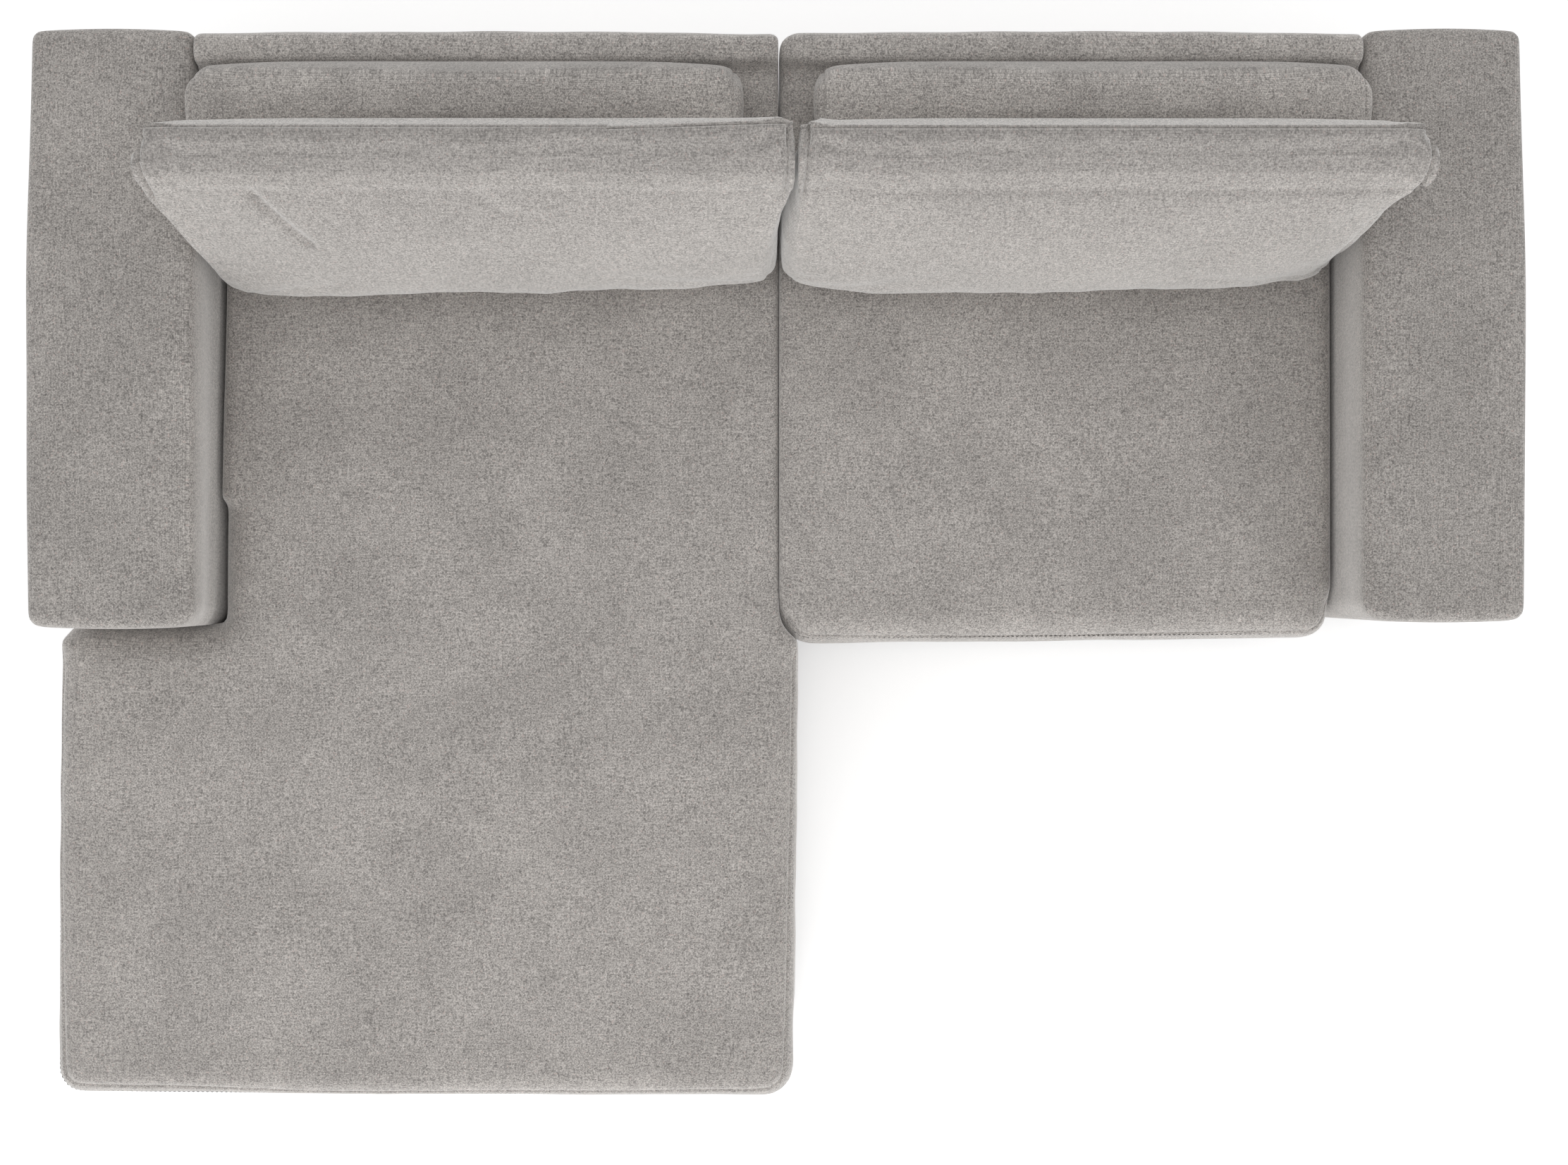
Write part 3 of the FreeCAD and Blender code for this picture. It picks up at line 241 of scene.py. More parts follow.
def weave_group() -> Tree:
    """Rows of thick and thin yarn, laid out by the object's own coordinates and normals.

    Returns:
        A group that puts out the yarn's height, how light each stitch is, and the few slubs.
    """
    graph, given = new_group(
        "yarn_weave", {"Turn": 0.0, "Row": 2.7, "Stitch": 2.9, "Twill": 0.36, "Wander": 1.0, "Holes": 0.75},
        ("Height", "Speck", "Slub"))
    where = graph.add("TexCoord").outputs
    x, y, z = graph.parts(where["Object"])
    nx, ny, _ = graph.parts(where["Normal"])
    turn = given["Turn"]
    end = graph.math("GREATER_THAN", graph.math("ABSOLUTE", graph.blend(turn, nx, ny)), 0.7)
    rear = graph.math("GREATER_THAN", graph.blend(turn, ny, nx), 0.7)
    fall = graph.times(z, graph.blend(rear, 1.0, -1.0))
    along = graph.blend(end, graph.blend(turn, x, y), z)
    across = graph.math("MULTIPLY_ADD", fall, graph.math("SUBTRACT", 1.0, end), graph.blend(turn, y, x))
    shift_x, shift_y, _ = graph.parts(graph.noise(where["Object"], 34.0, 3.0, "Color"))
    along = graph.nudge(along, shift_x, 0.0025)
    across = graph.nudge(across, shift_y, graph.times(given["Wander"], 0.0015))
    rows, stitches_in = (
        graph.math("DIVIDE", graph.times(way, 1.0 / MM), given[pitch])
        for way, pitch in ((across, "Row"), (along, "Stitch")))
    row = graph.math("FLOOR", rows)
    jog = graph.add("TexWhiteNoise", {"W": row}, noise_dimensions="1D").outputs[0]
    offset = graph.math("MULTIPLY_ADD", row, given["Twill"], graph.times(jog, 0.3))
    stitches_in = graph.math("ADD", stitches_in, offset)
    cell = graph.join(graph.math("FLOOR", stitches_in), row)
    random = graph.add("TexWhiteNoise", {"Vector": cell}, noise_dimensions="2D").outputs[0]
    knot = graph.times(
        graph.blend(0.85, 1.0, graph.hump(rows)), graph.blend(0.75, 1.0, graph.hump(stitches_in)))
    warp, weft = (
        graph.noise(graph.join(graph.times(along, a), graph.times(across, b), seed), 1.0)
        for a, b, seed in ((260.0, 34.0, 0.0), (34.0, 260.0, 5.0)))
    streak = graph.step(graph.times(graph.math("ADD", warp, weft), 0.5), 0.32, 0.68)
    return close_group(graph, {
        "Height": graph.times(knot, graph.blend(random, 0.5, 1.0)),
        "Speck": graph.times(graph.blend(0.40, random, streak), graph.blend(given["Holes"], 1.0, knot)),
        "Slub": graph.math("GREATER_THAN", random, 0.988)})


def pile_group() -> Tree:
    """Cloudy patches where the pile lies another way, and fuzz between them."""
    graph, given = new_group("brushed_pile", {"Patch": 6.0, "Seed": 0.0}, ("Cloud", "Fuzz"))
    where = graph.add("TexCoord").outputs["Object"]
    shift = graph.join(given["Seed"], given["Seed"])
    moved = graph.add("VectorMath", {0: where, 1: shift}, operation="ADD").outputs[0]
    broad = graph.noise(moved, given["Patch"], 4.0, Roughness=0.55)
    fuzz = graph.step(graph.noise(moved, 380.0), 0.33, 0.67)
    cloud = graph.step(graph.blend(0.25, broad, graph.noise(moved, 55.0, 4.0)), 0.36, 0.64)
    return close_group(graph, {"Cloud": cloud, "Fuzz": fuzz})


def grain_group() -> Tree:
    """Year rings cut lengthwise, for timber and plywood."""
    graph, given = new_group("sawn_grain", {"Fine": 90.0, "Stretch": 0.06}, ("Grain", "Pore"))
    x, y, z = graph.parts(graph.add("TexCoord").outputs["Object"])
    flat = graph.join(graph.times(x, given["Stretch"]), y, z)
    rings = graph.noise(flat, given["Fine"], 5.0, Distortion=0.6)
    return close_group(graph, {"Grain": rings, "Pore": graph.noise(flat, 700.0, 3.0)})


def mottle_group() -> Tree:
    """Handling marks and a fine moulded or rolled skin, for plastic and metal."""
    graph, given = new_group("handled_skin", {"Broad": 12.0, "Fine": 900.0}, ("Smudge", "Skin"))
    where = graph.add("TexCoord").outputs["Object"]
    smudge = graph.noise(where, given["Broad"], 5.0)
    return close_group(graph, {"Smudge": smudge, "Skin": graph.noise(where, given["Fine"])})


GROUPS: dict[str, Tree] = {}


def group(
        graph: Graph, maker: Callable[[], Tree],
        inputs: dict | None = None) -> bpy.types.bpy_prop_collection:
    """Places a shared group, which is made the first time, and returns its outputs."""
    if maker.__name__ not in GROUPS:
        GROUPS[maker.__name__] = maker()
    node = graph.add("Group", node_tree=GROUPS[maker.__name__])
    for name, value in (inputs or {}).items():
        graph.feed(node.inputs[name], value)
    return node.outputs


def shade(colour: tuple, gain: float) -> tuple:
    """A colour made lighter or darker, with full alpha."""
    return (*(part * gain for part in colour), 1.0)


# Finishes


@dataclass(frozen=True)
class Chenille:
    """The sofa's warm grey woven fabric.

    Row is the weave's pitch in millimetres, holes is how dark the gaps between the stitches are, cloud how
    much the pile's patches vary, and painted_tilt_shade, the painted shade and light by facing, how much a
    level face darkens and a rear face lightens.
    """

    name: str
    colour: tuple = (0.362, 0.339, 0.320)
    ribs: Ribs = Ribs.ACROSS
    row: float = 2.7
    holes: float = 0.75
    seed: float = 0.0
    cloud: float = 0.07
    contrast: float = 0.85
    sheen: float = 1.0
    tint: tuple = (0.95, 0.93, 0.91)
    painted_tilt_shade: float = 0.0
    relief: float = 0.55
    slub: tuple = (0.47, 0.33, 0.30, 1.0)

    def build(self) -> Material:
        """Makes the fabric's material."""
        cloth = Surface(self.name)
        weave = group(cloth, weave_group, {"Turn": self.ribs.value, "Row": self.row, "Holes": self.holes})
        pile = group(cloth, pile_group, {"Seed": self.seed})
        dark, light = (shade(self.colour, 1.0 + share * self.contrast) for share in (-0.75, 1.25))
        yarn = cloth.tint(cloth.blend(0.35, weave["Speck"], pile["Fuzz"]), dark, light)
        yarn = cloth.tint(cloth.times(weave["Slub"], 0.3), yarn, self.slub)
        gain = cloth.blend(pile["Cloud"], 1.0 - self.cloud, 1.0 + self.cloud)
        # Painted shade and light by facing: the colour darkens on level faces and lightens on faces towards
        # the back, the other way round when the amount is negative.
        if self.painted_tilt_shade:
            _, away, level = cloth.parts(cloth.add("TexCoord").outputs["Normal"])
            above = cloth.step(cloth.nudge(level, pile["Cloud"], 0.35), 0.30, 1.10)
            for mask, full in ((above, 1.0 - self.painted_tilt_shade), (cloth.step(away, 0.25, 0.75), 1.0 + self.painted_tilt_shade)):
                gain = cloth.times(gain, cloth.blend(mask, 1.0, full))
        tone = cloth.add("CombineColor", {0: gain, 1: gain, 2: gain}).outputs[0]
        cloth.set({
            "Sheen Weight": self.sheen, "Sheen Roughness": 0.45, "Sheen Tint": (*self.tint, 1.0),
            "Specular IOR Level": 0.25})
        return cloth.dress(
            cloth.tint(1.0, yarn, tone, "MULTIPLY"), cloth.blend(pile["Cloud"], 0.96, 0.84),
            cloth.blend(0.2, weave["Height"], pile["Fuzz"]), self.relief, 1.1 * MM)


@dataclass(frozen=True)
class Timber:
    """Sawn softwood or plywood inside the frames."""

    name: str
    colour: tuple
    fine: float = 90.0

    def build(self) -> Material:
        """Makes the wood's material."""
        wood = Surface(self.name)
        grain = group(wood, grain_group, {"Fine": self.fine})
        colour = wood.tint(grain["Grain"], shade(self.colour, 0.7), shade(self.colour, 1.25))
        colour = wood.tint(wood.times(grain["Pore"], 0.3), colour, shade(self.colour, 0.5))
        return wood.dress(colour, wood.blend(grain["Pore"], 0.6, 0.8), grain["Grain"], 0.3, 0.4 * MM)


@dataclass(frozen=True)
class HardFinish:
    """Metal or moulded plastic with a fine skin and handling marks."""

    name: str
    colour: tuple
    metal: float
    rough: tuple
    relief: float = 0.15

    def build(self) -> Material:
        """Makes the material."""
        hard = Surface(self.name)
        skin = group(hard, mottle_group)
        hard.set({"Metallic": self.metal})
        colour = hard.tint(skin["Smudge"], shade(self.colour, 0.82), shade(self.colour, 1.18))
        rough = hard.blend(skin["Smudge"], *self.rough)
        return hard.dress(colour, rough, skin["Skin"], self.relief, 0.1 * MM)


@dataclass(frozen=True)
class PlainCloth:
    """Webbing, felt, zip tape, thread and the dust cloth: fine fibres or a narrow weave."""

    name: str
    colour: tuple
    pitch: float
    contrast: float = 0.3

    def build(self) -> Material:
        """Makes the cloth's material."""
        cloth = Surface(self.name)
        weave = group(cloth, weave_group, {"Row": self.pitch, "Stitch": self.pitch * 1.3})
        dark, light = shade(self.colour, 1.0 - self.contrast), shade(self.colour, 1.0 + self.contrast)
        return cloth.dress(
            cloth.tint(weave["Speck"], dark, light), cloth.blend(weave["Speck"], 0.95, 0.8), weave["Height"],
            0.4, 0.5 * MM)


# Mesh tools


def make_piece(name: str, points: Array, faces: list, material: Material) -> Piece:
    """A smooth-shaded mesh object.

    Args:
        name: The piece's name.
        points: Its vertices in metres.
        faces: Tuples of vertex numbers.
        material: Its finish.

    Returns:
        The object, linked to the scene.
    """
    mesh = bpy.data.meshes.new(name)
    mesh.from_pydata([tuple(p) for p in points.tolist()], [], faces)
    mesh.update()
    mesh.shade_smooth()
    mesh.materials.append(material)
    piece = bpy.data.objects.new(name, mesh)
    bpy.context.scene.collection.objects.link(piece)
    return piece


def coordinates(piece: Piece) -> Array:
    """All the vertices of a mesh object."""
    flat = np.empty(len(piece.data.vertices) * 3, np.float64)
    piece.data.vertices.foreach_get("co", flat)
    return flat.reshape(-1, 3)


def normals(piece: Piece) -> Array:
    """The vertex normals of a mesh object."""
    flat = np.empty(len(piece.data.vertices) * 3, np.float32)
    piece.data.vertices.foreach_get("normal", flat)
    return flat.reshape(-1, 3).astype(np.float64)


def place(piece: Piece, points: Array) -> None:
    """Moves all the vertices of a mesh object."""
    piece.data.vertices.foreach_set("co", points.astype(np.float32).ravel())
    piece.data.update()


def modify(piece: Piece, kind: str, **settings) -> None:
    """Puts one modifier's work into a piece's own mesh.

    Args:
        piece: The piece.
        kind: Blender's name of the modifier type.
        **settings: Properties of the modifier.
    """
    modifier = piece.modifiers.new("step", kind)
    for name, value in settings.items():
        setattr(modifier, name, value)
    keep_result(piece)
    piece.data.shade_smooth()


def keep_result(piece: Piece) -> None:
    """Turns what a piece's modifiers show into its own mesh."""
    evaluated = piece.evaluated_get(bpy.context.evaluated_depsgraph_get())
    mesh = bpy.data.meshes.new_from_object(evaluated)
    piece.modifiers.clear()
    piece.data = mesh


def inflate(piece: Piece, pressure: float, cap: float, held: Array, frames: int = 20) -> None:
    """Swells a closed piece as stuffed cloth.

    Args:
        piece: The piece, which starts a little too small.
        pressure: How hard the filling presses.
        cap: The furthest that a point may move, in metres.
        held: How firmly each vertex is held in place, from 0 to 1.
        frames: How many steps the cloth takes.
    """
    start = coordinates(piece)
    pins = piece.vertex_groups.new(name="sewn")
    for index in np.flatnonzero(held > 0.01).tolist():
        pins.add([index], float(held[index]), "REPLACE")
    cloth = piece.modifiers.new("filling", "CLOTH")
    for name, value in {
            "quality": 5, "mass": 0.3, "tension_stiffness": 15.0, "compression_stiffness": 15.0,
            "bending_stiffness": 2.0, "vertex_group_mass": "sewn", "use_pressure": True,
            "uniform_pressure_force": pressure}.items():
        setattr(cloth.settings, name, value)
    cloth.settings.effector_weights.gravity = 0.0
    cloth.point_cache.frame_start, cloth.point_cache.frame_end = 1, frames
    scene = bpy.context.scene
    for moment in range(1, frames + 1):
        scene.frame_set(moment)
    keep_result(piece)
    scene.frame_set(1)
    step = coordinates(piece) - start
    share = np.minimum(1.0, cap / np.maximum(np.linalg.norm(step, axis=1), 1e-9))
    place(piece, start + step * share[:, None])
    piece.vertex_groups.clear()


def relax(piece: Piece, rounds: int, weight: Array | float = 1.0) -> None:
    """Moves every vertex halfway to the middle of its neighbours.

    Args:
        piece: The piece.
        rounds: How many times.
        weight: How much of it each vertex takes.
    """
    pairs = np.empty(len(piece.data.edges) * 2, np.int32)
    piece.data.edges.foreach_get("vertices", pairs)
    a, b = pairs.reshape(-1, 2).T
    points = coordinates(piece)
    count = np.bincount(a, minlength=len(points)) + np.bincount(b, minlength=len(points))
    weight = np.broadcast_to(weight, len(points))
    for _ in range(rounds):
        total = np.column_stack([
            np.bincount(a, points[b, axis], len(points)) + np.bincount(b, points[a, axis], len(points))
            for axis in range(3)])
        points += (total / count[:, None] - points) * (0.5 * weight)[:, None]
    place(piece, points)


def waves(points: Array, size: float, seed: int, count: int = 10) -> Array:
    """Soft seeded unevenness between about -1 and 1.

    Args:
        points: Where it is wanted.
        size: The length of a typical wave, in metres.
        seed: Picks the pattern.
        count: How many waves are added up.

    Returns:
        One value for each point.
    """
    source = np.random.default_rng(seed)
    total = np.zeros(len(points))
    for _ in range(count):
        direction = source.normal(size=3)
        direction *= 2.0 * math.pi / (size * source.uniform(0.6, 1.6) * np.linalg.norm(direction))
        total += np.sin(points @ direction + source.uniform(0.0, 2.0 * math.pi))
    return total / math.sqrt(count)


def ramp(value: Array, low: float, high: float) -> Array:
    """A smooth rise from 0 to 1 between two limits, which may fall instead."""
    share = np.clip((value - low) / (high - low), 0.0, 1.0)
    return share * share * (3.0 - 2.0 * share)


def arch(value: Array, low: float = 0.0, high: float = 1.0, turn: float = math.pi) -> Array:
    """A half wave that rises and falls between two limits."""
    return np.sin(np.clip((value - low) / (high - low), 0.0, 1.0) * turn)


def trace(at: Array, edges: Array, values: Array, chosen: Array, pick: Callable, blur: int = 0) -> Array:
    """Reads a line that is drawn through the outermost or middle values of chosen vertices.

    Args:
        at: Where each vertex lies along the line.
        edges: The ends of the stretches that give the line one value each.
        values: What is traced.
        chosen: The vertices that count.
        pick: Takes one value from each stretch; a stretch without vertices gets the middle of all.
        blur: Over how many stretches the line is evened out.

    Returns:
        The line's value at each vertex.
    """
    count = len(edges) - 1
    slot = np.clip(np.searchsorted(edges, at) - 1, 0, count - 1)
    line = np.array([pick(values[chosen & (slot == i)]) for i in range(count)])
    line[np.abs(line) > 5.0] = np.median(line)
    if blur:
        line = np.convolve(np.pad(line, blur // 2, "reflect"), np.ones(blur) / blur, "valid")
    return np.interp(at, (edges[:-1] + edges[1:]) / 2.0, line)


LOWEST, HIGHEST = partial(np.min, initial=9.0), partial(np.max, initial=-9.0)


def path_distance(points: Array, path: Array) -> Array:
    """How far each point is from a line of straight runs."""
    best = np.full(len(points), 1e9)
    for a, b in zip(path[:-1], path[1:]):
        run = b - a
        along = np.clip(((points - a) @ run) / max(run @ run, 1e-12), 0.0, 1.0)
        best = np.minimum(best, np.linalg.norm(points - a - along[:, None] * run, axis=1))
    return best


def run_lengths(path: Array) -> Array:
    """How far along a line each of its points is."""
    return np.concatenate([[0.0], np.cumsum(np.linalg.norm(np.diff(path, axis=0), axis=1))])


def walk(lengths: Array, path: Array, at: Array) -> Array:
    """The places on a line at some distances along it."""
    return np.column_stack([np.interp(at, lengths, column) for column in path.T])


def rounded_outline(corners: list[tuple[float, float, float]], spacing: float) -> Array:
    """An anticlockwise outline with rounded corners.

    Args:
        corners: X, Y and radius of each corner.
        spacing: The distance between its points.

    Returns:
        Evenly spaced points, one row each.
    """
    path = []
    for i, (x, y, radius) in enumerate(corners):
        here = np.array((x, y))
        if radius <= 0.0:
            path.append(here)
            continue
        ways = [np.array(other[:2]) - here for other in (corners[i - 1], corners[(i + 1) % len(corners)])]
        back, on = (way / np.linalg.norm(way) for way in ways)
        half = math.acos(float(np.clip(back @ on, -1.0, 1.0))) / 2.0
        centre = here + (back + on) / np.linalg.norm(back + on) * radius / math.sin(half)
        start, last = (
            math.atan2(*(here + way * radius / math.tan(half) - centre)[::-1]) for way in (back, on))
        turn = (last - start + math.pi) % (2.0 * math.pi) - math.pi
        for angle in start + turn * np.arange(13) / 12.0:
            path.append(centre + radius * np.array((math.cos(angle), math.sin(angle))))
    closed = np.array([*path, path[0]])
    lengths = run_lengths(closed)
    count = max(8, round(lengths[-1] / spacing))
    return walk(lengths, closed, np.linspace(0.0, lengths[-1], count, endpoint=False))


def outward(outline: Array) -> Array:
    """The outward directions of an anticlockwise outline."""
    run = np.roll(outline, -1, axis=0) - np.roll(outline, 1, axis=0)
    run /= np.linalg.norm(run, axis=1)[:, None]
    return np.column_stack([run[:, 1], -run[:, 0]])


def ring_faces(count: int, rings: int, closed: bool = False, first: int = 0) -> list[tuple]:
    """Quads between rings of points.

    Args:
        count: The points of one ring.
        rings: How many rings there are.
        closed: Whether the last ring joins the first.
        first: The number of the first point.

    Returns:
        One tuple of point numbers for each quad.
    """
    faces = []
    for level in range(rings if closed else rings - 1):
        a, b = first + level * count, first + (level + 1) % rings * count
        for i in range(count):
            j = (i + 1) % count
            faces.append((a + i, a + j, b + j, b + i))
    return faces


# Upholstered forms


@dataclass
class Form:
    """A closed form that carries one outline from one level to another, with rolled edges.

    The outline lies in the first two of its axes, and its levels run along the third.
    """

    outline: Array
    low: float
    high: float
    low_roll: float
    high_roll: Union[float, Array]
    axes: tuple = (0, 1, 2)
    steps: int = 7

    def build(self, name: str, material: Material, voxel: float) -> Piece:
        """Makes the form as an even mesh.

        Args:
            name: The piece's name.
            material: Its finish.
            voxel: The size of its faces, in metres.

        Returns:
            The new piece.
        """
        out = outward(self.outline)
        count = len(out)
        top_roll = np.broadcast_to(np.asarray(self.high_roll, float), (count,))
        turns = np.linspace(0.0, math.pi / 2.0, self.steps)
        levels = [
            (np.full(count, self.low_roll * (1.0 - math.sin(turn))),
             np.full(count, self.low + self.low_roll * (1.0 - math.cos(turn)))) for turn in turns]
        levels += [
            (top_roll * (1.0 - math.cos(turn)), self.high - top_roll * (1.0 - math.sin(turn)))
            for turn in turns]
        rings = [np.column_stack([self.outline - out * inset[:, None], level]) for inset, level in levels]
        last = (len(rings) - 1) * count
        caps = [tuple(range(count - 1, -1, -1)), tuple(range(last, last + count))]
        placed = np.empty((len(rings) * count, 3))
        placed[:, self.axes] = np.vstack(rings)
        piece = make_piece(name, placed, ring_faces(count, len(rings)) + caps, material)
        modify(piece, "REMESH", mode="VOXEL", voxel_size=voxel)
        relax(piece, 3)
        return piece


def crease(
        piece: Piece, point: tuple, across: tuple, width: float, depth: float,
        share: Callable | None = None) -> None:
    """Presses a sewn line into a piece where a plane cuts it.

    Args:
        piece: The piece.
        point: A point of the plane.
        across: The plane's normal.
        width: How wide the line's flank is, in metres.
        depth: How deep it is.
        share: Gives the part of the depth from points and normals.
    """
    start = Vector(point)
    normal = Vector(across).normalized()
    net = bmesh.new()
    net.from_mesh(piece.data)
    for step in (-2.4, -1.2, -0.5, 0.0, 0.5, 1.2, 2.4):
        spot = start + normal * (step * width)
        near = [v for v in net.verts if abs((v.co - spot) @ normal) < 0.02]
        chosen = set(near)
        edges = [e for e in net.edges if e.verts[0] in chosen and e.verts[1] in chosen]
        faces = [f for f in net.faces if all(v in chosen for v in f.verts)]
        bmesh.ops.bisect_plane(net, geom=near + edges + faces, plane_co=spot, plane_no=normal, dist=2e-4)
    net.to_mesh(piece.data)
    net.free()
    piece.data.shade_smooth()
    points, out = coordinates(piece), normals(piece)
    groove = np.exp(-(((points - np.array(start)) @ np.array(normal)) / width) ** 2) * depth
    if share is not None:
        groove = groove * share(points, out)
    place(piece, points - out * groove[:, None])


def stitches(
        name: str, path: Array, out: Array, material: Material, length: float = 0.0055,
        pitch: float = 0.0085, thick: float = 0.0009) -> Piece:
    """A row of single stitches along a line.

    Args:
        name: The piece's name.
        path: Points of the line.
        out: The outward direction at each point.
        material: The thread's finish.
        length: The length of one stitch.
        pitch: From one stitch to the next.
        thick: The thread's thickness.

    Returns:
        The new piece.
    """
    lengths = run_lengths(path)
    points, faces = [], []
    sides = 6
    for start in np.arange(pitch / 2.0, lengths[-1] - length, pitch):
        along = start + length * np.array((0.0, 0.2, 0.5, 0.8, 1.0))
        line, rise = walk(lengths, path, along), walk(lengths, out, along)
        rise /= np.linalg.norm(rise, axis=1)[:, None]
        run = (line[-1] - line[0]) / np.linalg.norm(line[-1] - line[0])
        lift = np.array((-0.5, 0.5, 0.75, 0.5, -0.5)) * thick
        size = np.array((0.35, 0.9, 1.0, 0.9, 0.35)) * thick
        first = len(points)
        for spot, up, high, wide in zip(line, rise, lift, size):
            side = np.cross(run, up)
            for angle in (math.pi / 3.0 * corner for corner in range(sides)):
                raised = spot + up * (high + math.sin(angle) * wide * 0.6)
                points.append(raised + side * math.cos(angle) * wide)
        faces += ring_faces(sides, len(line), first=first)
        last = len(points)
        faces += [tuple(range(first + sides - 1, first - 1, -1)), tuple(range(last - sides, last))]
    return make_piece(name, np.array(points), faces, material)


@dataclass
class SeatTop:
    """The seat of one module: a thick cushion of foam under a crowned cover."""

    side: Side
    finish: Material
    thread: Material
    exposed_roll: float = 0.050
    tucked_roll: float = 0.019
    seam_roll: float = 0.011
    arm_roll: float = 0.062
    corner: float = 0.060
    nose_corner: float = 0.055
    hidden_corner: float = 0.02
    seam_drop: float = 0.026
    spread: float = 0.018
    ease: float = 0.004
    voxel: float = 0.0075

    @property
    def left(self) -> bool:
        """Whether this is the chaise."""
        return self.side is Side.LEFT

    @property
    def word(self) -> str:
        """The start of the names of the frame's nodes."""
        return "chaise_seat" if self.left else "seat"

    @property
    def open_roll(self) -> float:
        """The radius of the open upper edges."""
        return self.exposed_roll * (0.8 if self.left else 1.0)

    def corners(self) -> list[tuple[float, float, float]]:
        """The outline's corners with their radii."""
        low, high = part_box(self.word + "_cover")
        if not self.left:
            side = high.x + self.ease
            return [
                (low.x, low.y + 0.001, self.corner), (side, low.y + 0.011, self.corner * 0.75),
                (side, high.y, self.hidden_corner), (low.x, high.y, self.hidden_corner)]
        seat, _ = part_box("seat_cover")
        arm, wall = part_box("left_arm_cover")
        hub = np.array((seat.x, seat.y)) + self.corner
        turn = math.acos((hub[0] - high.x) / self.corner)
        bend = [(hub[0] - self.corner * math.cos(a), hub[1] - self.corner * math.sin(a), 0.0)
                for a in np.linspace(turn, 0.0, 8)]
        return [
            (low.x - self.spread, low.y - 0.004, self.nose_corner * 0.8),
            (high.x - 0.010, low.y - 0.010, self.nose_corner * 0.95), *bend,
            (bend[-1][0], high.y, self.hidden_corner), (wall.x - 0.004, high.y, self.hidden_corner),
            (wall.x - 0.015, arm.y, 0.0), (low.x - self.spread + 0.012, arm.y, 0.03)]

    def base_corners(self) -> list[tuple[float, float, float]]:
        """The corners of the straighter outline of the base below the seat."""
        low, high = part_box(self.word + "_cover")
        r = self.hidden_corner
        if not self.left:
            return [(low.x, low.y, self.corner), (high.x, low.y, r), (high.x, high.y, r), (low.x, high.y, r)]
        arm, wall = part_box("left_arm_cover")
        bend = self.corners()[2:-4]
        return [
            (low.x - 0.008, low.y - 0.003, 0.022), (high.x - 0.007, low.y - 0.003, 0.026), *bend,
            (bend[-1][0], high.y, r), (wall.x, high.y, r), (wall.x, arm.y, 0.0), (low.x, arm.y, r)]

    def hidden(self, x: Array, y: Array) -> Array:
        """From 0 at an open edge to 1 at one that presses on a neighbour."""
        low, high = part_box(self.word + "_cover")
        if self.left:
            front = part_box("seat_cover")[0].y
            arm_low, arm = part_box("left_arm_cover")
            seam = ramp(x, high.x - 0.10, high.x - 0.06) * ramp(y, front - 0.04, front + 0.02)
            wall = ramp(x, arm.x + 0.03, arm.x + 0.005) * ramp(y, arm_low.y - 0.08, -0.07)
        else:
            seam = ramp(x, low.x + 0.03, low.x + 0.005) * ramp(y, low.y + 0.02, low.y + 0.09)
            wall = ramp(x, high.x - 0.03, high.x - 0.005) * ramp(y, low.y + 0.06, low.y + 0.10)
        return np.maximum(np.maximum(ramp(y, high.y - 0.06, high.y - 0.02), seam), wall)

    def shown(self, points: Array, _out: Array) -> Array:
        """From 1 at an open edge to 0 at a hidden one."""
        return 1.0 - self.hidden(points[:, 0], points[:, 1])

    def crown(self, x: Array, y: Array) -> Array:
        """How far the top falls away from its highest point, in metres."""
        top_x, top_y, radius = (-0.594, -0.154, 25.0) if self.left else (0.504, 0.214, 18.0)
        return ((x - top_x) ** 2 + (y - top_y) ** 2) / (2.0 * radius)

    def build(self) -> Piece:
        """Builds the seat and its stitched line."""
        low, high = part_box(self.word + "_cover")
        outline = rounded_outline(self.corners(), 0.012)
        hidden = self.hidden(*outline.T)
        tucked = np.full(len(outline), self.tucked_roll)
        tucked[np.abs(outline[:, 0] - (high.x if self.left else low.x)) < 0.04] = self.seam_roll
        if self.left:
            start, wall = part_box("left_arm_cover")
            tucked[(outline[:, 0] < wall.x - 0.012) & (outline[:, 1] > start.y - 0.02)] = self.arm_roll
        radius = self.open_roll + (tucked - self.open_roll) * hidden
        form = Form(outline, low.z + SKIN, high.z, 0.012, radius)
        piece = form.build(self.word + "_upholstery", self.finish, self.voxel)
        points, out = coordinates(piece), normals(piece)
        x, y, z = points.T
        level, seed = (1.0, 1.0, 0.0), len(self.word)
        soft = waves(points * level, 0.42, 11 + seed) * 0.0018
        soft += waves(points * level, 0.13, 5 + seed) * 0.0006
        z += ramp(z, low.z + 0.03, high.z - 0.05) * (soft - self.crown(x, y))
        open_wall = (1.0 - self.hidden(x, y)) * (1.0 - np.abs(out[:, 2]))
        swell = arch(z, low.z, high.z) * 0.003 + waves(points, 0.16, 3) * 0.0010
        points += out * level * (open_wall * swell)[:, None]
        place(piece, points)
        for height, depth in ((high.z - self.seam_drop, 0.0030), (low.z + 0.022, 0.0018)):
            crease(piece, (0.0, 0.0, height), Z_WAY, 0.0022, depth, self.shown)
        self.stitch(outline, hidden, high.z)
        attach(piece, "root")
        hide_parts(self.word + "_cover", self.word + "_foam")
        return piece

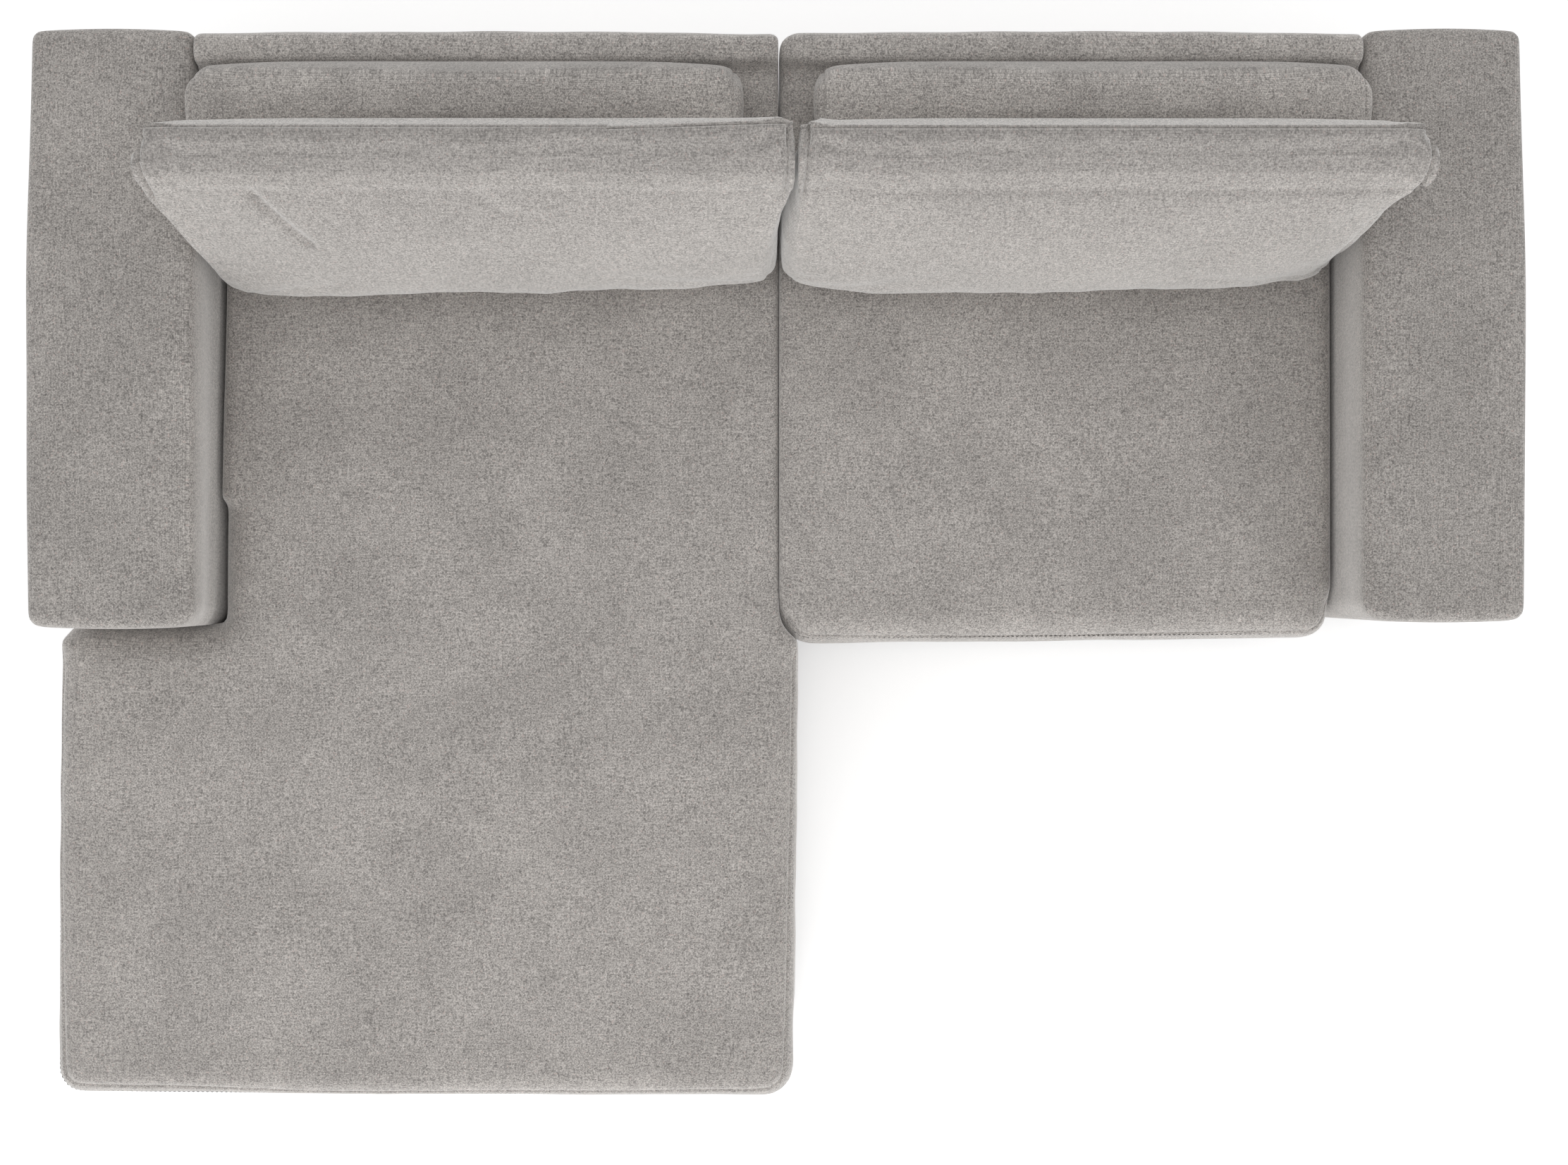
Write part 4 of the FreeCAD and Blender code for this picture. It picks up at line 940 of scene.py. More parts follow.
    def stitch(self, outline: Array, hidden: Array, top: float) -> Piece:
        """Sews the row of stitches under the open edges of the top.

        Args:
            outline: The seat's outline.
            hidden: How much each of its points is tucked against a neighbour.
            top: The height of the seat's highest point.

        Returns:
            The stitches.
        """
        turn = math.asin(1.0 - self.seam_drop / self.open_roll)
        out = outward(outline)
        ring = outline - out * (self.open_roll * (1.0 - math.cos(turn)) + 0.0012)
        height = top - self.seam_drop - self.crown(*ring.T)
        open_run = np.flatnonzero(hidden < 0.02)
        breaks = np.flatnonzero(np.diff(open_run) > 1)
        if len(breaks):
            open_run = np.roll(open_run, -breaks[0] - 1)
        path = np.column_stack([ring, height])[open_run]
        lift = np.column_stack([out * math.cos(turn), np.full(len(out), math.sin(turn))])[open_run]
        piece = stitches(self.word + "_stitches", path, lift, self.thread)
        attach(piece, "root")
        return piece


@dataclass
class Arm:
    """One wide upholstered arm."""

    side: Side
    finish: Material
    top_roll: float = 0.018
    outer_corner: float = 0.018
    inner_corner: float = 0.036
    rear_corner: float = 0.014
    draw: float = 0.009
    voxel: float = 0.0075

    def build(self) -> Piece:
        """Builds the arm."""
        name = self.side.word + "_arm"
        low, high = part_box(name + "_cover")
        left_arm = self.side is Side.LEFT
        left, right = (self.outer_corner, self.inner_corner)[::1 if left_arm else -1]
        outline = rounded_outline([
            (low.x, low.y, left), (high.x, low.y, right), (high.x, high.y, self.rear_corner),
            (low.x, high.y, self.rear_corner)], 0.01)
        form = Form(outline, low.z + SKIN, high.z, 0.008, self.top_roll)
        piece = form.build(name + "_upholstery", self.finish, self.voxel)
        points = coordinates(piece)
        x, y, z = points.T
        length = (y - low.y) / (high.y - low.y)
        width = (x - low.x) / (high.x - low.x)
        outer = 1.0 - width if left_arm else width
        bulge, front, slack = (0.010, 0.002, 0.013) if left_arm else (0.0005, -0.009, 0.0)
        swell = 0.004 * arch(length) - 0.007 * ramp(length, 0.55, 1.0) + bulge
        x += self.side.value * swell * ramp(outer, 0.5, 1.0)
        bow = arch(width)
        y -= (0.004 * bow - 0.001 + front) * ramp(length, 0.1, 0.0)
        y += (0.004 * bow + 0.001) * ramp(length, 0.9, 1.0)
        draw = self.draw + slack * (1.0 - length)
        x += self.side.value * draw * (ramp(outer, 0.2, 0.0) * ramp(z, 0.59, 0.46))
        pad = 0.003 * bow - 0.002 + waves(points * (1.0, 1.0, 0.0), 0.3, 21) * 0.0008
        z += ramp(z, high.z - 0.05, high.z - 0.01) * pad
        place(piece, points)
        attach(piece, "root")
        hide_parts(name + "_cover", name + "_foam")
        return piece


@dataclass
class FixedBack:
    """The fixed back of one module: a ledge for the headrest in front of a rear roll."""

    side: Side
    finish: Material
    ledge: float = 0.5925
    roll_depth: float = 0.055
    arm_roll: float = 0.006
    voxel: float = 0.0065

    def build(self) -> Piece:
        """Builds the back, extruded from arm to seam."""
        name = self.side.word + "_back"
        low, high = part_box(name + "_cover")
        crest = high.y - self.roll_depth
        outline = rounded_outline([
            (low.y, low.z, 0.008), (high.y, low.z, 0.008), (high.y, high.z, 0.022), (crest, high.z, 0.012),
            (crest - 0.004, self.ledge, 0.006), (low.y, self.ledge, 0.015)], 0.006)
        rolls = (self.arm_roll, 0.010) if self.side is Side.LEFT else (0.030, self.arm_roll)
        form = Form(outline, low.x + 0.0002, high.x - 0.0002, *rolls, axes=(1, 2, 0))
        piece = form.build(name + "_upholstery", self.finish, self.voxel)
        points = coordinates(piece)
        x, y, _ = points.T
        bow = 0.004 * arch(x, low.x, high.x) - 0.003 + waves(points, 0.25, 31) * 0.0008
        y += ramp(y, high.y - 0.03, high.y) * bow
        place(piece, points)
        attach(piece, "root")
        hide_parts(name + "_cover", name + "_foam")
        return piece


@dataclass
class Headrest:
    """The tilting pad on top of a fixed back.

    Nose is the radius of its front edge, drop the radius of the front face that turns about the hinge, bow
    how far its ends bend forward and down, and lens how far their middles swell out.
    """

    side: Side
    finish: Material
    nose: float = 0.035
    drop: float = 0.067
    rear_top: float = 0.046
    rear_low: float = 0.020
    end_roll: float = 0.022
    shrink: float = 0.002
    bow: float = 0.012
    lens: float = 0.009
    seam_inset: float = 0.009
    voxel: float = 0.006
    pressure: float = 3.0
    cap: float = 0.008

    @property
    def body(self) -> str:
        """The body that the pad moves with."""
        return "headrest_" + self.side.word

    def pivot(self) -> Vector:
        """The middle of the pad's hinge line."""
        joints = frame["record"]["behaviour"]["joints"]
        return Vector(next(joint["pos_m"] for joint in joints if joint["child"] == self.body))

    def section(self, low: Vector, high: Vector) -> Array:
        """The pad's section across the sofa, as Y and Z, in the box between two corners."""
        pin = self.pivot()
        reach = -math.acos(-self.nose / self.drop)
        under = [(pin.y + self.drop * math.cos(a), pin.z + self.drop * math.sin(a), 0.0)
                 for a in np.linspace(reach, -math.pi / 2.0, 6)]
        outline = rounded_outline([
            *under, (high.y, low.z, self.rear_low), (high.y, high.z, self.rear_top),
            (low.y, high.z - 0.004, self.nose)], 0.005)
        return outline - outward(outline) * self.shrink

    def build(self) -> Piece:
        """Builds the pad, stuffed and slit for its hinges."""
        name = self.side.word + "_headrest"
        low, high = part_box(name + "_cover")
        form = Form(
            self.section(low, high), low.x - 0.004, high.x + 0.004, self.end_roll, self.end_roll,
            axes=(1, 2, 0))
        piece = form.build(name + "_upholstery", self.finish, self.voxel)
        points = coordinates(piece)
        x, y, z = points.T
        middle, half = (low.x + high.x) / 2.0, (high.x - low.x) / 2.0
        share = np.abs(x - middle) / half
        rear = ramp(y, low.y + 0.05, high.y) * (0.3 + 0.7 * ramp(z, low.z + 0.035, low.z + 0.07))
        y -= self.bow * (share ** 4 + 1.6 * ramp(share, 0.93, 1.02)) * rear
        z -= self.bow * 0.6 * share ** 6 * ramp(z, low.z + 0.05, high.z)
        lens = arch(y, low.y, high.y) * arch(z, low.z, high.z, math.pi * 0.9)
        x += np.sign(x - middle) * self.lens * (lens - 0.6) * ramp(share, 0.95, 0.995)
        place(piece, points)
        ends = half - self.seam_inset - np.abs(x - middle)
        held = np.maximum(ramp(np.abs(ends), 0.008, 0.003), ramp(z, low.z + 0.012, low.z + 0.004))
        inflate(piece, self.pressure, self.cap, held)
        relax(piece, 2)
        points = coordinates(piece)
        points[:, 1] = np.clip(points[:, 1], low.y + SKIN, high.y + 0.006)
        points[:, 2] = np.maximum(points[:, 2], low.z + SKIN)
        place(piece, points)
        for end in (low.x + self.seam_inset, high.x - self.seam_inset):
            crease(piece, (end, 0.0, 0.0), X_WAY, 0.0018, 0.0026)
        self.slit(piece)
        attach(piece, self.body)
        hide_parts(name + "_cover", name + "_foam")
        return piece

    def slit(self, piece: Piece) -> None:
        """Cuts the slits that the hinge legs stand in."""
        low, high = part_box(self.side.word + "_hinge_legs")
        pin = self.pivot()
        below, above, half = 0.12, 0.0125, 0.0028
        faces = [(0, 1, 3, 2), (4, 6, 7, 5), (0, 4, 5, 1), (2, 3, 7, 6), (0, 2, 6, 4), (1, 5, 7, 3)]
        for x in (low.x + 0.002, high.x - 0.002):
            spans = ((x - half, x + half), *((at - below, at + above) for at in (pin.y, pin.z)))
            points = np.array(list(itertools.product(*spans)))
            cut = make_piece("slit", points, faces, piece.data.materials[0])
            modify(piece, "BOOLEAN", operation="DIFFERENCE", object=cut)
            bpy.data.objects.remove(cut)


@dataclass(frozen=True)
class CushionEnd:
    """How one end of a loose cushion leans out as it rises.

    Its sign tells which end it is, reach holds pairs of a height and the place of the end's edge there, tuck
    is how far the rear corner is drawn in and sweep how late, square is how sharp that corner is, and corner
    holds pairs of a height and how sharp the front corner is there, from -1 for blunt to 1 for square.
    """

    sign: float
    reach: tuple
    tuck: float
    sweep: float
    square: float
    corner: tuple

    def edge(self, z: Array | float) -> Array:
        """The end's X at some heights."""
        return np.interp(z, *np.array(self.reach).T)


@dataclass(frozen=True)
class CushionCut:
    """The cut of one loose cushion: its two ends, its crest, the line of its belly and its dents."""

    ends: tuple
    crest: float
    crest_turn: float
    belly: tuple
    dents: tuple


INNER = ((0.45, -0.30), (0.60, -0.05), (0.70, 0.40), (0.80, 0.80))
CUTS = {
    Side.LEFT: CushionCut(
        ends=(
            CushionEnd(
                sign=-1.0, reach=((0.50, -0.963), (0.70, -0.969), (0.79, -0.982), (0.81, -0.987)),
                tuck=0.022, sweep=1.1, square=0.90,
                corner=((0.45, 0.0), (0.56, 0.05), (0.64, 0.55), (0.70, 0.90), (0.80, 0.95))),
            CushionEnd(
                sign=1.0,
                reach=((0.50, 0.0115), (0.62, 0.014), (0.70, 0.0245), (0.745, 0.034), (0.81, 0.0400)),
                tuck=0.003, sweep=1.2, square=0.80, corner=INNER)),
        crest=0.6935, crest_turn=0.008,
        belly=((-0.954, 0.512), (-0.909, 0.4975), (-0.834, 0.494), (-0.734, 0.488), (-0.620, 0.489),
               (-0.519, 0.4905), (-0.385, 0.491), (-0.284, 0.497), (-0.150, 0.504), (-0.055, 0.5135),
               (-0.003, 0.522), (0.014, 0.532)),
        dents=(
            ((-0.818, 0.600, 0.775), (-0.785, 0.575, 0.725), (-0.754, 0.550, 0.680), 0.0105, 0.0088),
            ((-0.460, 0.600, 0.770), (-0.430, 0.585, 0.745), (-0.400, 0.580, 0.740), 0.012, 0.0025))),
    Side.RIGHT: CushionCut(
        ends=(
            CushionEnd(
                sign=-1.0,
                reach=((0.50, 0.0165), (0.62, 0.0195), (0.70, 0.030), (0.745, 0.0385), (0.80, 0.0455)),
                tuck=0.003, sweep=1.2, square=0.60, corner=INNER),
            CushionEnd(
                sign=1.0, reach=((0.50, 0.991), (0.62, 0.993), (0.70, 1.004), (0.785, 1.028), (0.81, 1.036)),
                tuck=0.024, sweep=2.6, square=0.70,
                corner=((0.45, -0.30), (0.60, -0.70), (0.70, -0.60), (0.76, 0.20), (0.80, 0.85)))),
        crest=0.6945, crest_turn=0.0,
        belly=((0.012, 0.528), (0.050, 0.516), (0.175, 0.495), (0.376, 0.488), (0.560, 0.493),
               (0.828, 0.504), (0.924, 0.523), (0.962, 0.545), (0.990, 0.560)),
        dents=(
            ((0.930, 0.640, 0.800), (0.945, 0.610, 0.760), (0.940, 0.585, 0.720), 0.010, 0.0035),
            ((0.100, 0.600, 0.770), (0.090, 0.570, 0.700), (0.070, 0.545, 0.640), 0.012, 0.0025)))}


@dataclass
class LooseCushion:
    """A large loose back cushion, stuffed with fibre and closed by a zip.

    Shelf is the height above which it turns back over the headrest, rear_start the Y from which its rear
    corners are drawn in, rear_depth how far that takes, and flange how far its end seams lie inside its
    ends.
    """

    side: Side
    finish: Material
    voxel: float = 0.007
    cover: float = 0.003
    shrink: float = 0.004
    pressure: float = 3.0
    cap: float = 0.013
    flange: float = 0.013
    shelf: float = 0.765
    rear_start: float = 0.633
    rear_depth: float = 0.065
    corner_radius: float = 0.058
    crest_bend: float = -0.25

    @property
    def body(self) -> str:
        """The body that the cushion moves with."""
        return "back_cushion_" + self.side.word

    @property
    def cut(self) -> CushionCut:
        """The shapes that belong to this side's cushion."""
        return CUTS[self.side]

    def crest(self, x: Array | float) -> Array:
        """The Y of the crest seam."""
        return self.cut.crest + self.cut.crest_turn * ramp(x, self.crest_bend, 0.02)

    def build(self) -> Piece:
        """Builds the cushion: stuffed, held by what it leans on, and sewn."""
        name = self.side.word + "_cushion"
        piece = bpy.data.objects.new(name + "_upholstery", frame["nodes"][name + "_fill"].data.copy())
        piece.data.materials.clear()
        piece.data.materials.append(self.finish)
        bpy.context.scene.collection.objects.link(piece)
        modify(piece, "REMESH", mode="VOXEL", voxel_size=self.voxel)
        relax(piece, 2)
        place(piece, coordinates(piece) + normals(piece) * self.cover)
        self.tailor(piece)
        held = self.sewn(piece)
        place(piece, coordinates(piece) - normals(piece) * (self.shrink * (1.0 - held))[:, None])
        inflate(piece, self.pressure, self.cap, ramp(held, 0.55, 0.9))
        relax(piece, 1)
        modify(piece, "SUBSURF", levels=1, render_levels=1)
        for work in (self.tailor, self.fold, self.hang, self.corner, self.press, self.settle, self.sew):
            work(piece)
        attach(piece, self.body)
        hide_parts(name + "_cover", name + "_fill")
        return piece

    def tailor(self, piece: Piece) -> None:
        """Brings the ends to where the cover holds them at each height."""
        points = coordinates(piece)
        x, y, z = points.T
        middle = (x.min() + x.max()) / 2.0
        top = z.max()
        levels = np.linspace(z.min(), top, 30)
        for end in self.cut.ends:
            rear = np.clip((y - self.rear_start) / self.rear_depth, 0.0, 1.1) ** end.sweep
            rear *= ramp(z, self.shelf, self.shelf + 0.035)
            own = (x - middle) * end.sign > 0.0
            now = trace(z, levels, x * end.sign, own, HIGHEST) * end.sign
            target = end.edge(z) - end.sign * end.tuck * rear
            target -= end.sign * 0.004 * (z > top - 0.012)
            x += ramp((x - now) * end.sign, -0.20, 0.0) * own * (target - now)
        place(piece, points)

    def fold(self, piece: Piece) -> None:
        """Turns the rounded top into a wedge: a gentle slope up to the crest seam and a steep rear strip."""
        points = coordinates(piece)
        x, y, z = points.T
        middle = (x.min() + x.max()) / 2.0
        centre = np.array((0.665, self.shelf))
        wedge = np.array([
            (0.7068, 0.765), (0.7075, 0.775), (0.7185, 0.797), (0.7165, 0.812), (self.cut.crest, 0.8365),
            (0.672, 0.8325), (0.650, 0.8240), (0.630, 0.8105), (0.613, 0.7900), (0.602, 0.765)])
        runs = [np.linspace(a, b, 12, endpoint=False) for a, b in zip(wedge[:-1], wedge[1:])]
        dense = np.vstack([*runs, wedge[-1:]]) - centre
        flat = points[:, 1:] - centre
        angle, radius = np.arctan2(flat[:, 1], flat[:, 0]), np.linalg.norm(flat, axis=1)
        inner = (np.abs(x - middle) < 0.25) & (flat[:, 1] > -0.004)
        now = trace(angle, np.linspace(0.0, math.pi, 37), radius, inner, np.median, blur=7)
        wanted = np.interp(angle, np.arctan2(dense[:, 1], dense[:, 0]), np.linalg.norm(dense, axis=1))
        ease = ramp(angle, math.pi, math.pi - 0.45) * ramp(angle, 0.0, 0.2)
        gain = 1.0 + (wanted / now - 1.0) * ease * ramp(flat[:, 1], 0.0, 0.02)
        points[:, 1:] = centre + flat * gain[:, None]
        y += ramp(z, 0.80, 0.83) * (self.crest(x) - self.cut.crest)
        place(piece, points)
        relax(piece, 8, np.exp(-((z - 0.775) / 0.022) ** 2) * (y < 0.65))

    def hang(self, piece: Piece) -> None:
        """Lets the stuffing sag to the belly's line above the seat."""
        points = coordinates(piece)
        x, y, z = points.T
        low, high = x.min(), x.max()
        now = trace(x, np.linspace(low, high, 25), y, (z > 0.48) & (z < 0.54), LOWEST)
        wanted = np.interp(x, *np.array(self.cut.belly).T)
        rise = z - 0.505
        share = np.exp(-(rise / np.where(rise < 0.0, 0.042, 0.085)) ** 2) * ramp(y, 0.63, 0.54)
        y += (wanted - now) * share * ramp(np.minimum(x - low, high - x), 0.0, 0.05)
        place(piece, points)

    def corner(self, piece: Piece) -> None:
        """Makes the upright corners sharper or blunter."""
        points = coordinates(piece)
        x, y, z = points.T
        middle = (x.min() + x.max()) / 2.0
        levels = np.linspace(z.min(), z.max(), 26)
        radius = self.corner_radius
        for end, front in itertools.product(self.cut.ends, (True, False)):
            own = (x - middle) * end.sign > 0.0
            way = 1.0 if front else -1.0
            inward = (end.edge(z) - end.sign * (0.0 if front else end.tuck) - x) * end.sign
            sample = own & (inward > 0.06) & (inward < 0.13)
            into = (y - trace(z, levels, y, sample, LOWEST if front else HIGHEST)) * way
            along, deep = (radius - inward) / radius, (radius - into) / radius
            inside = own & (along > 0.0) & (deep > 0.0)
            size = np.maximum(np.hypot(along, deep), 1e-6)
            stretch = size / np.maximum(np.maximum(along, deep), 1e-6)
            share = np.interp(z, *np.array(end.corner).T) if front else end.square * ramp(z, 0.76, 0.80)
            gain = 1.0 + share * (stretch - 1.0)
            x_step, y_step = (
                (np.minimum(part * gain, np.maximum(part, 1.0)) - part) * radius * sign * inside
                for part, sign in ((along, end.sign), (deep, -way)))
            x += x_step
            y += y_step
        place(piece, points)

    def sewn(self, piece: Piece) -> Array:
        """How near each vertex is to a seam, from 0 to 1."""
        x, y, z = coordinates(piece).T
        near = ramp(np.abs(y - self.crest(x)), 0.045, 0.004) * (z > 0.80)
        for end in self.cut.ends:
            gap = np.abs(x - end.edge(z) + end.sign * self.flange * 0.6)
            near = np.maximum(near, ramp(gap, 0.045, 0.004))
        return near

    def press(self, piece: Piece) -> None:
        """Adds the soft dents and the unevenness of the stuffing."""
        points, out = coordinates(piece), normals(piece)
        x, _, z = points.T
        front = ramp(-out[:, 1], 0.1, 0.5)
        broad, fine = waves(points * (1.0, 0.4, 1.0), 0.21, 41), waves(points, 0.08, 43)
        depth = (broad * 0.0022 + fine * 0.0007) * front
        depth += ramp(z, 0.56, 0.47) * front * np.sin(x * 2.0 * math.pi / 0.23 + 1.1) * 0.0016
        for *path, width, amount in self.cut.dents:
            depth -= np.exp(-(path_distance(points, np.array(path)) / width) ** 2) * amount
        place(piece, points + out * depth[:, None])

    def settle(self, piece: Piece) -> None:
        """Flattens the cushion where it rests on the seat, the back and the arm."""
        low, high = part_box(self.side.word + "_cushion_cover")
        points = coordinates(piece)
        x, y, z = points.T
        strip = np.ones(len(points))
        for end in self.cut.ends:
            strip *= ramp((end.edge(0.81) - x) * end.sign, 0.004, 0.13 if end.tuck > 0.02 else 0.05)
        crest = self.crest(x)
        upper = crest + 0.003 + (high.y + 0.0135 - crest - 0.003) * strip
        rear = high.y + 0.0004 + (upper - high.y) * ramp(z, self.shelf, self.shelf + 0.028)
        points[:, 1] = np.minimum(y, rear)
        points[:, 2] = np.maximum(z, low.z)
        for end in self.cut.ends:
            points[:, 0] = end.sign * np.minimum(x * end.sign, end.edge(z) * end.sign + SKIN)
        place(piece, points)

    @staticmethod
    def crest_share(points: Array, _out: Array) -> Array:
        """How much of the crest seam shows at each height."""
        return ramp(points[:, 2], 0.79, 0.81)

    @staticmethod
    def flange_share(points: Array, out: Array) -> Array:
        """How much of an end's flange shows: nearly nothing below the shelf and at the rear."""
        front = ramp(np.abs(out[:, 0]), 0.98, 0.85) * ramp(points[:, 1], 0.703, 0.695)
        return front * (0.1 + 0.9 * ramp(points[:, 2], 0.75, 0.785))

    def sew(self, piece: Piece) -> None:
        """Presses in the crest seam, which may turn once, and the flanges at the ends."""
        seam = partial(crease, piece, width=0.0022, depth=0.0045)
        if self.cut.crest_turn:
            spot = (-0.13, float(self.crest(-0.13)) - MM, 0.83)
            seam(spot, Y_WAY, share=lambda p, n: self.crest_share(p, n) * (p[:, 0] < self.crest_bend))
            way = (self.cut.crest_turn / self.crest_bend, 1.0, 0.0)
            seam(spot, way, share=lambda p, n: self.crest_share(p, n) * (p[:, 0] >= self.crest_bend))
        else:
            seam((0.5, self.cut.crest - MM, 0.83), Y_WAY, share=self.crest_share)
        for end in self.cut.ends:
            high, low = (end.edge(z) - end.sign * self.flange for z in (0.81, 0.50))
            way = (1.0, 0.0, (low - high) / 0.31)
            crease(piece, (high, 0.63, 0.81), way, 0.0030, 0.0080, self.flange_share)


@dataclass
class BaseBand:
    """The upholstered base under one module's seat, open at its top and bottom."""

    side: Side
    finish: Material
    lip: float = 0.018
    thick: float = 0.006

    def build(self) -> Piece:
        """Builds the band as a folded strip of covered wadding."""
        word = self.side.module
        low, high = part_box(word + "_base_cover")
        outline = rounded_outline(SeatTop(self.side, self.finish, self.finish).base_corners(), 0.01)
        out = outward(outline)
        outer = outline - out * self.thick
        levels = [
            (0.003, low.z + SKIN), (0.0, low.z + 0.004), (0.0, low.z + 0.05), (0.0, high.z - 0.05),
            (0.0, high.z - 0.004), (0.003, high.z), (self.lip, high.z), (self.lip, high.z - 0.003),
            (self.thick, high.z - 0.006), (self.thick, low.z + 0.004)]
        points = np.vstack([
            np.column_stack([outer - out * inset, np.full(len(outer), z)]) for inset, z in levels])
        faces = ring_faces(len(outer), len(levels), closed=True)
        piece = make_piece(word + "_base_upholstery", points, faces, self.finish)
        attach(piece, "root")
        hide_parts(word + "_base_cover")
        return piece


@dataclass
class DustSheet:
    """The thin black cloth stapled under one module."""

    side: Side
    finish: Material
    inset: float = 0.012

    def build(self) -> Piece:
        """Builds the sheet, stretched under the rails."""
        word = self.side.module
        low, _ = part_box(word + "_dust_cover")
        outline = rounded_outline(SeatTop(self.side, self.finish, self.finish).base_corners(), 0.02)
        outline = outline - outward(outline) * self.inset
        points = np.column_stack([outline, np.full(len(outline), low.z + SKIN)])
        faces = [tuple(range(len(points) - 1, -1, -1))]
        piece = make_piece(word + "_dust_sheet", points, faces, self.finish)
        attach(piece, "root")
        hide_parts(word + "_dust_cover")
        return piece


# Hardware


HARDWARE = {
    "timber": Timber("sawn_timber", (0.62, 0.46, 0.29)),
    "plywood": Timber("birch_plywood", (0.66, 0.52, 0.35), 140.0),
    "webbing": PlainCloth("elastic_webbing", (0.10, 0.10, 0.11), 1.6),
    "spring_steel": HardFinish("spring_steel", (0.52, 0.53, 0.54), 1.0, (0.28, 0.45)),
    "hinge_steel": HardFinish("black_hinge_steel", (0.05, 0.05, 0.055), 0.2, (0.38, 0.55)),
    "bolt_steel": HardFinish("zinc_plated_steel", (0.60, 0.61, 0.62), 1.0, (0.22, 0.4)),
    "foot_plastic": HardFinish("black_foot_plastic", (0.025, 0.025, 0.027), 0.0, (0.45, 0.62), 0.3),
    "glide_felt": PlainCloth("glide_felt", (0.12, 0.11, 0.10), 0.8),
    "zip_tape": PlainCloth("zip_tape", (0.30, 0.28, 0.26), 1.2)}


def dress_hardware() -> None:
    """Gives each piece of hardware the finish of its material slot."""
    finishes = {slot: finish.build() for slot, finish in HARDWARE.items()}
    for row in frame["record"]["subparts"]:
        if row["material_slot"] in finishes:
            for slot in frame["nodes"][row["node"]].material_slots:
                slot.material = finishes[row["material_slot"]]
            log.info("dressed %s", row["node"])


# Studio


